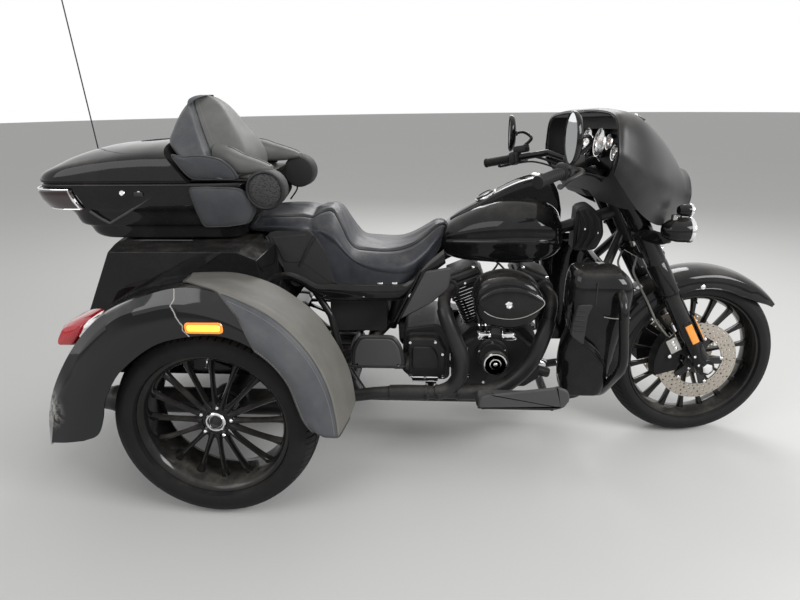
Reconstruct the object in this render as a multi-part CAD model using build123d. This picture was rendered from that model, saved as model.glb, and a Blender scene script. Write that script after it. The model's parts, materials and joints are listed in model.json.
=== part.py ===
from build123d import *
from functools import cache
from math import cos, pi, radians, sin, sqrt, tan
import os

# A touring trike: two driven rear wheels under a trunk body, one steered front wheel.
# Millimetres. +X forward, +Y to the rider's left, +Z up, ground at Z = 0.
# The origin lies on the ground under the middle of the overall box.

# Driving dimensions
WHEELBASE = 1670
REAR_AXLE_X = -630
REAR_TYRE_R = 325
REAR_TYRE_W = 215
REAR_RIM_R = REAR_TYRE_R - 97
REAR_LIP_R = REAR_RIM_R + 15
REAR_TYRE_OUTER_Y = 645
FRONT_TYRE_R = 319
FRONT_TYRE_W = 130
FRONT_RIM_R = FRONT_TYRE_R - 78
FRONT_LIP_R = FRONT_RIM_R + 11
HEAD_ANGLE = 26
FORK_ANGLE = 29
TRAIL = 110
REST_STEER = 6
FORK_LEG_Y = 120
SLIDER_R = 32
FORK_COVER_R = 35
DISC_R = 150
DISC_Y = 78
DISC_T = 5
AXLE_R = 12.5
STUB_R = 25
RUNNING_FIT = 0.05
REAR_SPOKES = 14
FRONT_SPOKES = 9
TRUNK_HALF = 408
TRUNK_FLOOR_Z = 400
TRUNK_TOP_Z = 826
TRUNK_REAR_X = -1272
TRUNK_REAR_BULGE = 72
TRUNK_RAKE = 26
TRUNK_WALL = 6
DOOR_HALF = 320
DOOR_BOTTOM_Z = 490
DOOR_TOP_Z = 790
DOOR_THICK = 24
DOOR_GAP = 5
FENDER_OUTER_Y = 695
FENDER_T = 6
FENDER_EDGE_R = 60
COVER_T = 3
CASE_SEAM_Z = 1022
CASE_FLOOR_Z = 842
CASE_HALF = 280
CASE_FRONT_X = -545
CASE_REAR_X = -1296
CASE_WALL = 5
LID_TOP_Z = 1142
LID_GAP = 5
MAST_TOP_Z = 1690
TUBE_R = 16
SEAT_GAP = 0.3

FRONT_AXLE_X = REAR_AXLE_X + WHEELBASE
REAR_WHEEL_Y = REAR_TYRE_OUTER_Y - REAR_TYRE_W / 2
STEER_AXIS = Axis((FRONT_AXLE_X + TRAIL, 0, 0), (-sin(radians(HEAD_ANGLE)), 0, cos(radians(HEAD_ANGLE))))


def steer_x(z):
    """X of the steering axis at height z."""
    return FRONT_AXLE_X + TRAIL - z * tan(radians(HEAD_ANGLE))


def leg_x(z):
    """X of the fork legs' centre line at height z."""
    return FRONT_AXLE_X - (z - FRONT_TYRE_R) * tan(radians(FORK_ANGLE))


def outline(points, radius=0):
    """A flat face from corner points, each corner rounded by one radius."""
    if radius:
        return make_face(FilletPolyline(*points, radius=radius, close=True))
    return make_face(Polyline(*points, close=True))


def corner_radii(points, share=0.47):
    """The largest arc that each inner corner of an open line has room for."""
    radii = []
    for before, here, after in zip(points, points[1:], points[2:]):
        run_in = Vector(*here) - Vector(*before)
        run_out = Vector(*after) - Vector(*here)
        turn = radians(run_in.get_angle(run_out))
        radii.append(share * min(run_in.length, run_out.length) / tan(turn / 2))
    return radii


def side_block(points, y0, y1, radius=0):
    """An outline given as x, z and carried from y0 to y1."""
    face = Plane.XZ * outline(points, radius)
    return Pos(0, max(y0, y1), 0) * extrude(face, amount=abs(y1 - y0))


def plan_block(points, z0, z1, radius=0):
    """An outline given as x, y and carried from z0 to z1."""
    return extrude(Pos(0, 0, z0) * outline(points, radius), amount=z1 - z0)


def span(x0, x1, y0, y1, z0, z1):
    """A box between two corners."""
    return Pos((x0 + x1) / 2, (y0 + y1) / 2, (z0 + z1) / 2) * Box(abs(x1 - x0), abs(y1 - y0), abs(z1 - z0))


def rod(start, end, radius):
    """A round bar from start to end."""
    line = Line(start, end)
    return extrude(Plane(origin=line @ 0, z_dir=line % 0) * Circle(radius), amount=line.length)


def tube(points, radius, bend):
    """A round tube along straight runs joined by tangent arcs."""
    path = FilletPolyline(*points, radius=bend)
    return sweep(Plane(origin=path @ 0, z_dir=path % 0) * Circle(radius), path=path)


def mirror_y(shape):
    return mirror(shape, about=Plane.XZ)


def both(shape):
    """The right-hand piece and its mirror image, as solids that do not touch."""
    return Compound(children=[s for part in (shape, mirror_y(shape)) for s in part.solids()])


def group(*shapes):
    return Compound(children=[s for shape in shapes for s in shape.solids()])


def turned(shape):
    """A steered piece, drawn straight ahead and then turned to its rest angle."""
    return shape.rotate(STEER_AXIS, REST_STEER)


def about_wheel(points, x, y, z):
    """A ring from a profile given as radius, offset along the axle."""
    profile = make_face(Polyline(*[(r, w) for r, w in points], close=True))
    ring = revolve(Plane(origin=(0, 0, 0), x_dir=(1, 0, 0), z_dir=(0, 0, 1)) * profile, Axis.Y)
    return Pos(x, y, z) * ring


TREAD_DROP = 22


def tyre(radius, width, barrel_r, lip_r, rim_half, x, y, z):
    """A closed ring with rounded shoulders, its beads held between the rim's lips."""
    half = width / 2
    rim_r = barrel_r + SEAT_GAP
    mid_r = (rim_r + radius) / 2
    shoulder_r = radius - TREAD_DROP
    profile = make_face(
        Polyline((rim_r, -half * 0.72), (rim_r, half * 0.72))
        + ThreePointArc((rim_r, half * 0.72), (mid_r, half), (shoulder_r, half * 0.86))
        + ThreePointArc((shoulder_r, half * 0.86), (radius, 0), (shoulder_r, -half * 0.86))
        + ThreePointArc((shoulder_r, -half * 0.86), (mid_r, -half), (rim_r, -half * 0.72))
    )
    ring = revolve(profile, Axis.Y)
    bead = rim_half - LIP_DEPTH - SEAT_GAP
    cut = about_wheel([(barrel_r - 5, bead), (barrel_r, bead), (lip_r + SEAT_GAP, rim_half - SEAT_GAP),
                       (lip_r + SEAT_GAP, width), (barrel_r - 5, width)], 0, 0, 0)
    return Pos(x, y, z) * (ring - cut - mirror_y(cut))


LIP_DEPTH = 10
LIP_T = 6


def rim(barrel_r, lip_r, width, hub_r, hub_half, bore_r, spokes, spoke_w, face_y, dish, x, y, z):
    """A cast wheel: barrel with two lips, hub, and spokes carried round by a loop.

    face_y is where the spokes meet the hub and dish how far inboard they meet the barrel.
    """
    half = width / 2
    wheel = about_wheel(
        [(barrel_r - LIP_DEPTH, -half + LIP_T), (lip_r - LIP_T, -half - LIP_T), (lip_r, -half),
         (barrel_r, -half + LIP_DEPTH), (barrel_r, half - LIP_DEPTH), (lip_r, half),
         (lip_r - LIP_T, half + LIP_T), (barrel_r - LIP_DEPTH, half - LIP_T)], 0, 0, 0)
    hub = about_wheel([(0, -hub_half), (hub_r, -hub_half), (hub_r, hub_half), (0, hub_half)], 0, 0, 0)
    spoke = side_block([(-spoke_w / 2, hub_r - 4), (spoke_w / 2, hub_r - 4),
                        (spoke_w * 0.35, barrel_r - 6), (-spoke_w * 0.35, barrel_r - 6)], -9, 9)
    spoke = Pos(0, face_y, 0) * spoke
    wheel += hub
    wheel += [spoke.rotate(Axis.Y, 360 * k / spokes) for k in range(spokes)]
    ring = about_wheel([(barrel_r - 26, face_y - 9), (barrel_r - 6, face_y - 9 - dish),
                        (barrel_r - 6, face_y + 9), (barrel_r - 26, face_y + 9)], 0, 0, 0)
    wheel += ring
    wheel -= Rot(90, 0, 0) * Cylinder(bore_r, 4 * hub_half + 4 * width)
    return Pos(x, y, z) * wheel


# Rear wheels
RIM_SHARE = 0.72


def rear_tyre(side):
    return tyre(REAR_TYRE_R, REAR_TYRE_W, REAR_RIM_R, REAR_LIP_R, REAR_TYRE_W * RIM_SHARE / 2,
                REAR_AXLE_X, side * REAR_WHEEL_Y, REAR_TYRE_R)


HUB_HALF = 50
HUB_R = 48


def rear_rim(side):
    wheel = rim(REAR_RIM_R, REAR_LIP_R, REAR_TYRE_W * RIM_SHARE, HUB_R, HUB_HALF, STUB_R + RUNNING_FIT,
                REAR_SPOKES, 24, side * 38, 0, REAR_AXLE_X, side * REAR_WHEEL_Y, REAR_TYRE_R)
    cap = Rot(90, 0, 0) * Cylinder(HUB_R - 12, 10)
    return wheel + Pos(REAR_AXLE_X, side * (REAR_WHEEL_Y + HUB_HALF + 5), REAR_TYRE_R) * cap


# Front wheel
def front_tyre():
    return turned(tyre(FRONT_TYRE_R, FRONT_TYRE_W, FRONT_RIM_R, FRONT_LIP_R, FRONT_TYRE_W * RIM_SHARE / 2,
                       FRONT_AXLE_X, 0, FRONT_TYRE_R))


FRONT_HUB_R = 40
FRONT_SPOKE_W = 15


def front_rim():
    return turned(rim(FRONT_RIM_R, FRONT_LIP_R, FRONT_TYRE_W * RIM_SHARE, FRONT_HUB_R, DISC_Y - DISC_T / 2,
                      AXLE_R + RUNNING_FIT, 2 * FRONT_SPOKES, FRONT_SPOKE_W, 0, 0,
                      FRONT_AXLE_X, 0, FRONT_TYRE_R))


DISC_HOLE_R = 30


def front_discs():
    """Two brake discs bolted to the hub's ends."""
    inner = DISC_Y - DISC_T / 2
    disc = about_wheel([(DISC_HOLE_R, inner), (DISC_R, inner), (DISC_R, inner + DISC_T),
                        (DISC_HOLE_R, inner + DISC_T)], 0, 0, 0)
    slot = Pos(DISC_R - 60, 0, 0) * Rot(90, 0, 0) * Cylinder(20, 4 * DISC_Y)
    disc -= [slot.rotate(Axis.Y, 360 * k / 5) for k in range(5)]
    disc = Pos(FRONT_AXLE_X, 0, FRONT_TYRE_R) * disc
    return group(turned(disc), turned(mirror_y(disc)))


# Front fork, fender and brakes
UPPER_YOKE_Z = 948
LOWER_YOKE_Z = 742
COVER_LOW_Z = 612
YOKE_T = 30
HEAD_TUBE_R = 30
STEM_R = 14
FOOT_Z = 300


@cache
def front_fork():
    """Two legs on two yokes about a stem, with the axle through their feet."""
    top_z = UPPER_YOKE_Z + 20
    low_z = LOWER_YOKE_Z - 20
    axle_half = FORK_LEG_Y + 38
    parts = []
    for y in (-FORK_LEG_Y, FORK_LEG_Y):
        parts.append(rod((leg_x(FOOT_Z), y, FOOT_Z), (leg_x(COVER_LOW_Z), y, COVER_LOW_Z), SLIDER_R))
        parts.append(rod((leg_x(COVER_LOW_Z), y, COVER_LOW_Z), (leg_x(top_z), y, top_z), FORK_COVER_R))
    for z in (LOWER_YOKE_Z, UPPER_YOKE_Z):
        yoke = Pos(leg_x(z), 0, z) * Box(90, 2 * FORK_LEG_Y, YOKE_T)
        parts.append(yoke)
    parts.append(rod((steer_x(low_z), 0, low_z), (steer_x(top_z), 0, top_z), STEM_R))
    parts.append(Pos(FRONT_AXLE_X, 0, FRONT_TYRE_R) * Rot(90, 0, 0) * Cylinder(AXLE_R, 2 * axle_half))
    fork = parts[0]
    fork += parts[1:]
    return turned(fork)


def slider(side):
    """The lower part of one fork leg."""
    y = side * FORK_LEG_Y
    return rod((leg_x(FOOT_Z), y, FOOT_Z), (leg_x(COVER_LOW_Z), y, COVER_LOW_Z), SLIDER_R)


FENDER_R = 357
BRACKET_Z = 575
FENDER_HALF = 82
FENDER_SKIRT_R = 284
FENDER_FRONT_DEG = 38
FENDER_REAR_DEG = 190


def front_fender():
    """A crowned arc over the front tyre with a skirt down each side."""
    t = 4
    outer = make_face(
        Line((FENDER_SKIRT_R, -FENDER_HALF), (FENDER_R - 34, -FENDER_HALF))
        + ThreePointArc((FENDER_R - 34, -FENDER_HALF), (FENDER_R, 0), (FENDER_R - 34, FENDER_HALF))
        + Line((FENDER_R - 34, FENDER_HALF), (FENDER_SKIRT_R, FENDER_HALF))
        + Line((FENDER_SKIRT_R, FENDER_HALF), (FENDER_SKIRT_R, FENDER_HALF - t))
        + Line((FENDER_SKIRT_R, FENDER_HALF - t), (FENDER_R - 34, FENDER_HALF - t))
        + ThreePointArc((FENDER_R - 34, FENDER_HALF - t), (FENDER_R - t, 0), (FENDER_R - 34, t - FENDER_HALF))
        + Line((FENDER_R - 34, t - FENDER_HALF), (FENDER_SKIRT_R, t - FENDER_HALF))
        + Line((FENDER_SKIRT_R, -FENDER_HALF + t), (FENDER_SKIRT_R, -FENDER_HALF))
    )
    arc = revolve(outer, Axis.Y, revolution_arc=FENDER_REAR_DEG - FENDER_FRONT_DEG)
    fender = Pos(FRONT_AXLE_X, 0, FRONT_TYRE_R) * arc.rotate(Axis.Y, -FENDER_REAR_DEG)
    for side in (-1, 1):
        bracket = leg_frame(BRACKET_Z, side * (FENDER_HALF + 2)) * Box(44, 12, 50)
        fender += bracket - slider(side)
    return turned(fender)


def leg_frame(z, y, ahead=0):
    """A plane on a fork leg at height z: local Z runs up the leg and local X points ahead."""
    tilt = radians(FORK_ANGLE)
    return Plane(origin=(leg_x(z) + ahead * cos(tilt), y, z + ahead * sin(tilt)),
                 x_dir=(cos(tilt), 0, sin(tilt)), z_dir=(-sin(tilt), 0, cos(tilt)))


CALIPER_IN_R = 88
CALIPER_OUT_R = 174
CALIPER_HALF = 26
CALIPER_SLOT = 8
CALIPER_FROM_DEG = 22
CALIPER_TO_DEG = 76


@cache
def brake_calipers():
    """Each caliper straddles its disc's edge behind the fork leg and is bolted to the leg by two lugs."""
    edge = DISC_R + 7
    turn = 90 + FORK_ANGLE + CALIPER_TO_DEG
    out = []
    for side in (-1, 1):
        mid = side * DISC_Y
        profile = make_face(Polyline((CALIPER_IN_R, mid - CALIPER_HALF), (CALIPER_OUT_R, mid - CALIPER_HALF),
                                     (CALIPER_OUT_R, mid + CALIPER_HALF), (CALIPER_IN_R, mid + CALIPER_HALF),
                                     (CALIPER_IN_R, mid + CALIPER_SLOT), (edge, mid + CALIPER_SLOT),
                                     (edge, mid - CALIPER_SLOT), (CALIPER_IN_R, mid - CALIPER_SLOT),
                                     close=True))
        body = revolve(profile, Axis.Y, revolution_arc=CALIPER_TO_DEG - CALIPER_FROM_DEG)
        body = Pos(FRONT_AXLE_X, 0, FRONT_TYRE_R) * body.rotate(Axis.Y, -turn)
        for up in (82, 128):
            height = FRONT_TYRE_R + up * cos(radians(FORK_ANGLE))
            body += leg_frame(height, side * (DISC_Y + 19), -44) * Box(40, 14, 18)
        body -= slider(side)
        out.append(turned(body.solids().sort_by(SortBy.VOLUME)[-1]))
    return group(*out)


def brake_hoses():
    """A hose from the lower yoke down behind each fork leg to its caliper."""
    out = []
    for y in (-1, 1):
        top = Vector(leg_x(LOWER_YOKE_Z) - 30, y * 66, LOWER_YOKE_Z - YOKE_T / 2)
        bend = Vector(leg_x(LOWER_YOKE_Z) - 44, y * 72, LOWER_YOKE_Z - 70)
        mid = leg_frame(600, y * 89, -FORK_COVER_R - 40).origin
        low = leg_frame(520, y * 93, -SLIDER_R - 46).origin
        end = leg_frame(FRONT_TYRE_R + 116, y * 96, -SLIDER_R - 26).origin
        hose = turned(tube([tuple(p) for p in (top, bend, mid, low, end)], 4, 40))
        out.append((hose - brake_calipers() - front_fork()).solids().sort_by(SortBy.VOLUME)[-1])
    return group(*out)


# Handlebar, controls and mirrors
GRIP_END = (306, 432, 1030)
GRIP_START = (404, 350, 1052)
BAR_R = 13
GRIP_R = 17


@cache
def handlebar():
    """A swept-back bar on two risers above the upper yoke."""
    points = [GRIP_END, GRIP_START, (520, 262, 1078), (610, 130, 1040), (610, -130, 1040), (520, -262, 1078),
              (GRIP_START[0], -GRIP_START[1], GRIP_START[2]), (GRIP_END[0], -GRIP_END[1], GRIP_END[2])]
    bar = tube(points, BAR_R, 45)
    for y in (-50, 50):
        bar += rod((leg_x(UPPER_YOKE_Z + 15), y, UPPER_YOKE_Z + 15), (608, y, 1042), 16)
    bar = turned(bar)
    return bar - front_fork()


def along(a, b, t):
    return tuple(a[i] + (b[i] - a[i]) * t for i in range(3))


@cache
def hand_controls():
    """Grip, switch housing, fluid reservoir and lever on each end of the bar."""
    out = []
    for y in (-1, 1):
        end = (GRIP_END[0], y * GRIP_END[1], GRIP_END[2])
        start = (GRIP_START[0], y * GRIP_START[1], GRIP_START[2])
        piece = rod(along(end, start, -0.03), along(end, start, 0.86), GRIP_R)
        piece += rod(along(end, start, 0.86), along(end, start, 1.16), 26)
        lever_root = along(end, start, 1.05)
        piece += rod(lever_root, (lever_root[0] + 34, lever_root[1], lever_root[2] - 6), 11)
        piece += rod((lever_root[0] + 34, lever_root[1], lever_root[2] - 6),
                     (end[0] + 62, end[1] + y * 4, end[2] - 14), 7)
        cup = Pos(lever_root[0] + 20, lever_root[1] - y * 6, lever_root[2] + 30) * Box(54, 44, 26)
        piece += cup
        piece -= rod(along(end, start, -0.5), along(end, start, 1.4), BAR_R + SEAT_GAP)
        out.append(turned(piece.solids().sort_by(SortBy.VOLUME)[-1]) - handlebar())
    return group(*[o.solids().sort_by(SortBy.VOLUME)[-1] for o in out])


MIRROR = (407, 415, 1150)


def mirrors():
    """An oval mirror on a curved arm from each switch housing."""
    out = []
    for y in (-1, 1):
        head = Plane(origin=(MIRROR[0], y * MIRROR[1], MIRROR[2]), z_dir=(-1, y * -0.12, 0)) * Ellipse(46, 74)
        head = extrude(head, amount=12, both=True)
        foot = (GRIP_START[0] + 32, y * (GRIP_START[1] - 4), GRIP_START[2] + 44)
        arm = tube([foot, (foot[0] + 42, foot[1] + y * 8, foot[2] + 34),
                    (MIRROR[0] + 30, y * (MIRROR[1] - 10), MIRROR[2] + 2),
                    (MIRROR[0] + 8, y * MIRROR[1], MIRROR[2])], 5, 18)
        out.append(turned(arm + head))
    return group(*[(o - hand_controls()).solids().sort_by(SortBy.VOLUME)[-1] for o in out])


# Fairing and its lamps
# Section columns: x, half width, bottom z, top z, corner radius
FAIRING = [
    (545, 388, 1040, 1226, 90),
    (640, 366, 900, 1216, 120),
    (760, 270, 850, 1150, 110),
    (870, 150, 850, 1058, 70),
    (918, 100, 872, 1016, 50),
]
FAIRING_T = 5
FAIRING_MOUTH_X = 872
PANEL_GAP = 0.7


@cache
def fairing_block(inset, extra=0):
    """The fairing as a filled form drawn in by an inset, its open back carried out by extra."""
    sections = []
    for row, (x, half, low, high, r) in enumerate(FAIRING):
        if row == 0:
            x -= extra
        if row == len(FAIRING) - 1:
            x -= inset
        face = RectangleRounded(2 * (half - inset), high - low - 2 * inset, max(r - inset, 5))
        sections.append(Plane(origin=(x, 0, (low + high) / 2), x_dir=(0, 1, 0), z_dir=(1, 0, 0)) * face)
    return loft(sections)


HEADLAMP = (912, 0, 938)
HEADLAMP_R = 84


def headlamp_bore(clearance):
    return Pos(HEADLAMP[0] - 30, 0, HEADLAMP[2]) * Rot(0, 90, 0) * Cylinder(HEADLAMP_R + clearance, 130)


def fairing_outer():
    """A shell that wraps round the fork's head, open at the back."""
    shell = fairing_block(0) - fairing_block(FAIRING_T, 8)
    shell -= headlamp_bore(SEAT_GAP)
    shell -= span(500, FAIRING_MOUTH_X, -175, 175, 780, 905)
    return turned(shell.solids().sort_by(SortBy.VOLUME)[-1])


DASH_X = 640


def fairing_inner():
    """The rider's side of the fairing: an upright panel with its instruments, above the yoke."""
    inner = fairing_block(FAIRING_T + PANEL_GAP, 8)
    panel = inner & span(DASH_X - 30, DASH_X + 8, -500, 500, 930, 1300)
    pocket = inner & span(DASH_X - 31, DASH_X - 6, -240, 240, 960, 1170)
    panel -= pocket
    for y in (-62, 62):
        panel += rod((DASH_X - 24, y, 1128), (DASH_X, y, 1120), 48)
    hoop = fairing_block(FAIRING_T + PANEL_GAP) - fairing_block(FAIRING_T + 14, 8)
    panel += hoop & span(548, DASH_X, -500, 500, 930, 1300)
    panel -= span(500, 760, -45, 45, 900, 960)
    panel = turned(panel.solids().sort_by(SortBy.VOLUME)[-1]) - handlebar() - front_fork()
    return panel.solids().sort_by(SortBy.VOLUME)[-1]


SPOT = (828, 214, 846)
SPOT_R = 40
SIGNAL = (848, 222, 912)


def front_lamps():
    """Headlamp drum on a bracket from the lower yoke, two spot lamps and two turn signals on one bar."""
    drum = Pos(HEADLAMP[0] - 20, 0, HEADLAMP[2]) * Rot(0, 90, 0) * Cylinder(HEADLAMP_R, 84)
    drum += rod((leg_x(LOWER_YOKE_Z) + 28, 0, LOWER_YOKE_Z), (848, 0, 900), 11)
    bar = tube([(812, -SPOT[1], 806), (836, -150, 806), (836, 150, 806), (812, SPOT[1], 806)], 9, 20)
    bar += rod((leg_x(LOWER_YOKE_Z) + 40, 0, LOWER_YOKE_Z + 6), (836, 0, 806), 14)
    for y in (-1, 1):
        bar += Pos(SPOT[0] + 29, y * SPOT[1], SPOT[2]) * Rot(0, 90, 0) * Cylinder(SPOT_R, 34)
        bar += Pos(SPOT[0] - 17, y * SPOT[1], SPOT[2]) * Rot(0, 90, 0) * Cone(SPOT_R * 0.4, SPOT_R, 58)
        bar += rod((812, y * SPOT[1], 806), (816, y * SPOT[1], 830), 10)
        bar += Pos(SIGNAL[0], y * SIGNAL[1], SIGNAL[2]) * Rot(0, 90, 0) * Cylinder(19, 44)
        bar += rod((SIGNAL[0] - 8, y * SIGNAL[1], SIGNAL[2] - 10), (SPOT[0], y * SPOT[1], SPOT[2] + 30), 9)
    lamps = turned(drum + bar)
    lamps -= front_fork()
    return lamps.solids().sort_by(SortBy.VOLUME)[-1]


# Frame
YOKE_GAP = 18
RAIL_Z = 188
BRACE_R = 13
CRANKCASE_LOW_Z = 224
GEARBOX_LOW_Z = 262
# Cross members under the engine: x, height of the mount's top
ENGINE_MOUNTS = [(320, CRANKCASE_LOW_Z), (40, GEARBOX_LOW_Z)]


def head_tube():
    low = LOWER_YOKE_Z + YOKE_T / 2 + YOKE_GAP
    high = UPPER_YOKE_Z - YOKE_T / 2 - YOKE_GAP
    neck = rod((steer_x(LOWER_YOKE_Z), 0, LOWER_YOKE_Z), (steer_x(UPPER_YOKE_Z), 0, UPPER_YOKE_Z),
               HEAD_TUBE_R)
    return neck & span(500, 1000, -100, 100, low, high)


@cache
def frame():
    """Backbone, two cradle loops and the rear subframe, welded to the steering head."""
    steel = head_tube()
    steel += tube([(700, 0, 880), (520, 0, 820), (140, 0, 745), (-60, 0, 640), (-120, 0, 420)], 22, 60)
    for y in (-1, 1):
        steel += tube([(735, 0, 800), (640, y * 120, 640), (612, y * 140, 215), (480, y * 150, RAIL_Z),
                       (-210, y * 150, RAIL_Z), (-300, y * 130, 330)], TUBE_R, 45)
        steel += tube([(-120, 0, 440), (-190, y * 120, 400), (-300, y * 130, 330)], TUBE_R, 20)
        steel += tube([(-60, 0, 650), (-160, y * 120, 690), (-600, y * 120, 770)], BRACE_R, 40)
        steel += tube([(-300, y * 130, 330), (-330, y * 150, 520), (-470, y * 120, 746)], BRACE_R, 40)
    steel += rod((-190, -120, 400), (-190, 120, 400), TUBE_R)
    for x, mount_z in ENGINE_MOUNTS:
        steel += rod((x, -156, RAIL_Z), (x, 156, RAIL_Z), BRACE_R)
        steel += span(x - 22, x + 22, -40, 40, RAIL_Z, mount_z)
    steel += rod((480, -150, RAIL_Z), (480, 150, RAIL_Z), TUBE_R)
    steel -= rod((steer_x(700), 0, 700), (steer_x(1000), 0, 1000), STEM_R + RUNNING_FIT)
    steel -= trunk_block(0)
    return steel.solids().sort_by(SortBy.VOLUME)[-1]


# Engine
CRANK = (285, 340)
CYLINDER_HALF_ANGLE = 22.5
CYLINDER_R = 68


def vee_plane(side, distance):
    """A plane square to one cylinder's axis, at a distance from the crank. side -1 is the rear one."""
    tilt = radians(CYLINDER_HALF_ANGLE) * side
    return Plane(origin=(CRANK[0] + distance * sin(tilt), 0, CRANK[1] + distance * cos(tilt)),
                 x_dir=(cos(tilt), 0, -sin(tilt)), z_dir=(sin(tilt), 0, cos(tilt)))


@cache
def crankcase():
    """The lower engine with its round cam cover on the right."""
    body = side_block([(118, 250), (120, 400), (190, 470), (385, 470), (446, 400), (452, 262),
                       (400, CRANKCASE_LOW_Z), (170, CRANKCASE_LOW_Z)], -118, 118, 20)
    body += side_block([(160, 300), (160, 420), (230, 466), (350, 466), (420, 400), (410, 300), (330, 262),
                        (230, 262)], -186, -110, 25)
    body += Pos(264, -196, 392) * Rot(90, 0, 0) * Cylinder(46, 30)
    for side in (-1, 1):
        body -= vee_plane(side, 300) * Cylinder(CYLINDER_R + 12, 330)
    return body.solids().sort_by(SortBy.VOLUME)[-1]


FINS = 8


@cache
def cylinders():
    """Two finned cylinders in a vee with their heads and rocker boxes."""
    out = []
    for side in (-1, 1):
        barrel = vee_plane(side, 190) * Cylinder(CYLINDER_R - 12, 110)
        for k in range(FINS):
            barrel += vee_plane(side, 143 + 13 * k) * Cylinder(CYLINDER_R, 5)
        barrel += vee_plane(side, 275) * Box(2 * CYLINDER_R + 6, 150, 66)
        barrel += vee_plane(side, 335) * Box(2 * CYLINDER_R - 12, 172, 56)
        out.append(barrel)
    vee = out[0]
    keep = side_block([(CRANK[0] - 2, 100), (CRANK[0] - 2, 900), (-300, 900), (-300, 100)], -300, 300)
    rear = vee & keep
    front = mirror(rear, about=Plane((CRANK[0], 0, 0), z_dir=(1, 0, 0)))
    return group(rear, front)


@cache
def gearbox():
    body = side_block([(-70, 300), (-60, 470), (60, 490), (112, 460), (112, GEARBOX_LOW_Z),
                       (-30, GEARBOX_LOW_Z)], -150, 118, 25)
    body += side_block([(-44, 286), (-44, 450), (70, 450), (96, 400), (96, 286)], -196, -146, 20)
    return body


@cache
def primary_cover():
    """The long cover over the clutch and primary drive on the left."""
    body = side_block([(-96, 300), (-100, 400), (-20, 452), (330, 440), (392, 360), (360, 262), (60, 246),
                       (-50, 262)], 118, 212, 38)
    return fillet(body.faces().sort_by(Axis.Y)[-1].edges(), 14)


AIR_CLEANER = [(184, 640), (212, 706), (300, 724), (392, 690), (412, 640), (394, 588), (330, 548), (236, 556)]


@cache
def air_cleaner():
    body = side_block(AIR_CLEANER, -338, -214, 26)
    body = fillet(body.faces().sort_by(Axis.Y)[0].edges(), 18)
    body += rod((288, -216, 618), (CRANK[0], 0, 606), 34)
    body = body - cylinders() - crankcase()
    return body.solids().sort_by(SortBy.VOLUME)[-1]


PIPE_R = 24
PIPE_Y = -262
PIPE_Z = 266
MUFFLER_R = 48
MUFFLER_Y = 262
MUFFLER_Z = 215


@cache
def exhaust_pipes():
    """Front and rear header on the right, joined to one pipe that divides under the trunk."""
    rear = tube([(112, -95, 610), (84, -196, 606), (92, PIPE_Y, 560), (166, PIPE_Y, 380),
                 (112, PIPE_Y, PIPE_Z), (-120, PIPE_Y, PIPE_Z), (-330, -250, 230),
                 (-440, -MUFFLER_Y, MUFFLER_Z)], PIPE_R, 40)
    front = tube([(452, -95, 612), (470, -190, 606), (440, PIPE_Y, 520), (395, PIPE_Y, 380),
                  (280, PIPE_Y, PIPE_Z + 6), (60, PIPE_Y, PIPE_Z)], PIPE_R - 1, 40)
    cross = tube([(-220, PIPE_Y, 250), (-262, -150, 240), (-262, 170, 240), (-330, 250, 225),
                  (-440, MUFFLER_Y, MUFFLER_Z)], PIPE_R - 2, 50)
    pipes = rear + front + cross
    pipes = pipes - cylinders() - crankcase() - gearbox() - frame() - air_cleaner() - mufflers()
    return pipes.solids().sort_by(SortBy.VOLUME)[-1]


@cache
def mufflers():
    """One long muffler under each side of the trunk, its tip showing at the back."""
    out = []
    for y in (-MUFFLER_Y, MUFFLER_Y):
        body = rod((-440, y, MUFFLER_Z), (-1190, y, MUFFLER_Z), MUFFLER_R)
        body += rod((-1190, y, MUFFLER_Z), (-1262, y, MUFFLER_Z + 7), MUFFLER_R - 8)
        body -= rod((-1150, y, MUFFLER_Z + 5), (-1280, y, MUFFLER_Z + 7), MUFFLER_R - 12)
        out.append(body)
    return group(*out)


# Tank, seat and covers
# Section columns: x, half width, bottom z, top z, corner radius
TANK = [
    (66, 62, 742, 802, 26),
    (170, 120, 716, 888, 62),
    (300, 164, 716, 938, 84),
    (420, 166, 722, 938, 84),
    (506, 118, 742, 872, 58),
]


@cache
def tank_block():
    return loft([Plane(origin=(x, 0, (low + high) / 2), x_dir=(0, 1, 0), z_dir=(1, 0, 0))
                 * RectangleRounded(2 * half, high - low, r) for x, half, low, high, r in TANK])


def fuel_tank():
    tank = tank_block()
    tunnel = tube([(800, 0, 914), (520, 0, 820), (140, 0, 745), (-60, 0, 640)], 23, 60)
    slot = side_block([(0, 600), (0, 716), (140, 768), (520, 843), (700, 880), (700, 600)], -26, 26)
    return (tank - tunnel - slot).solids().sort_by(SortBy.VOLUME)[-1]


def tank_console():
    """The raised dash along the tank's top, with the filler cap."""
    body = side_block([(112, 780), (150, 880), (300, 968), (400, 992), (470, 972), (500, 880), (470, 780)],
                      -58, 58, 24)
    body = body - Pos(0, 0, SEAT_GAP) * tank_block()
    body = body.solids().sort_by(Axis.Z)[-1]
    body += Pos(246, 0, 950) * Rot(0, -28, 0) * Cylinder(34, 24)
    body = body - Pos(0, 0, SEAT_GAP) * tank_block()
    return body.solids().sort_by(SortBy.VOLUME)[-1]


SEAT_SIDE = [(-604, 850), (-604, 900), (-500, 912), (-330, 916), (-290, 890), (-230, 812), (-105, 786),
             (10, 806), (64, 850), (92, 832), (62, 776), (-6, 690), (-98, 662), (-206, 680), (-282, 732),
             (-390, 826)]
SEAT_PLAN = [(-606, -150), (-520, -176), (-400, -172), (-320, -158), (-240, -186), (-110, -190), (20, -150),
             (94, -64), (94, 64), (20, 150), (-110, 190), (-240, 186), (-320, 158), (-400, 172), (-520, 176),
             (-606, 150)]


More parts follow.
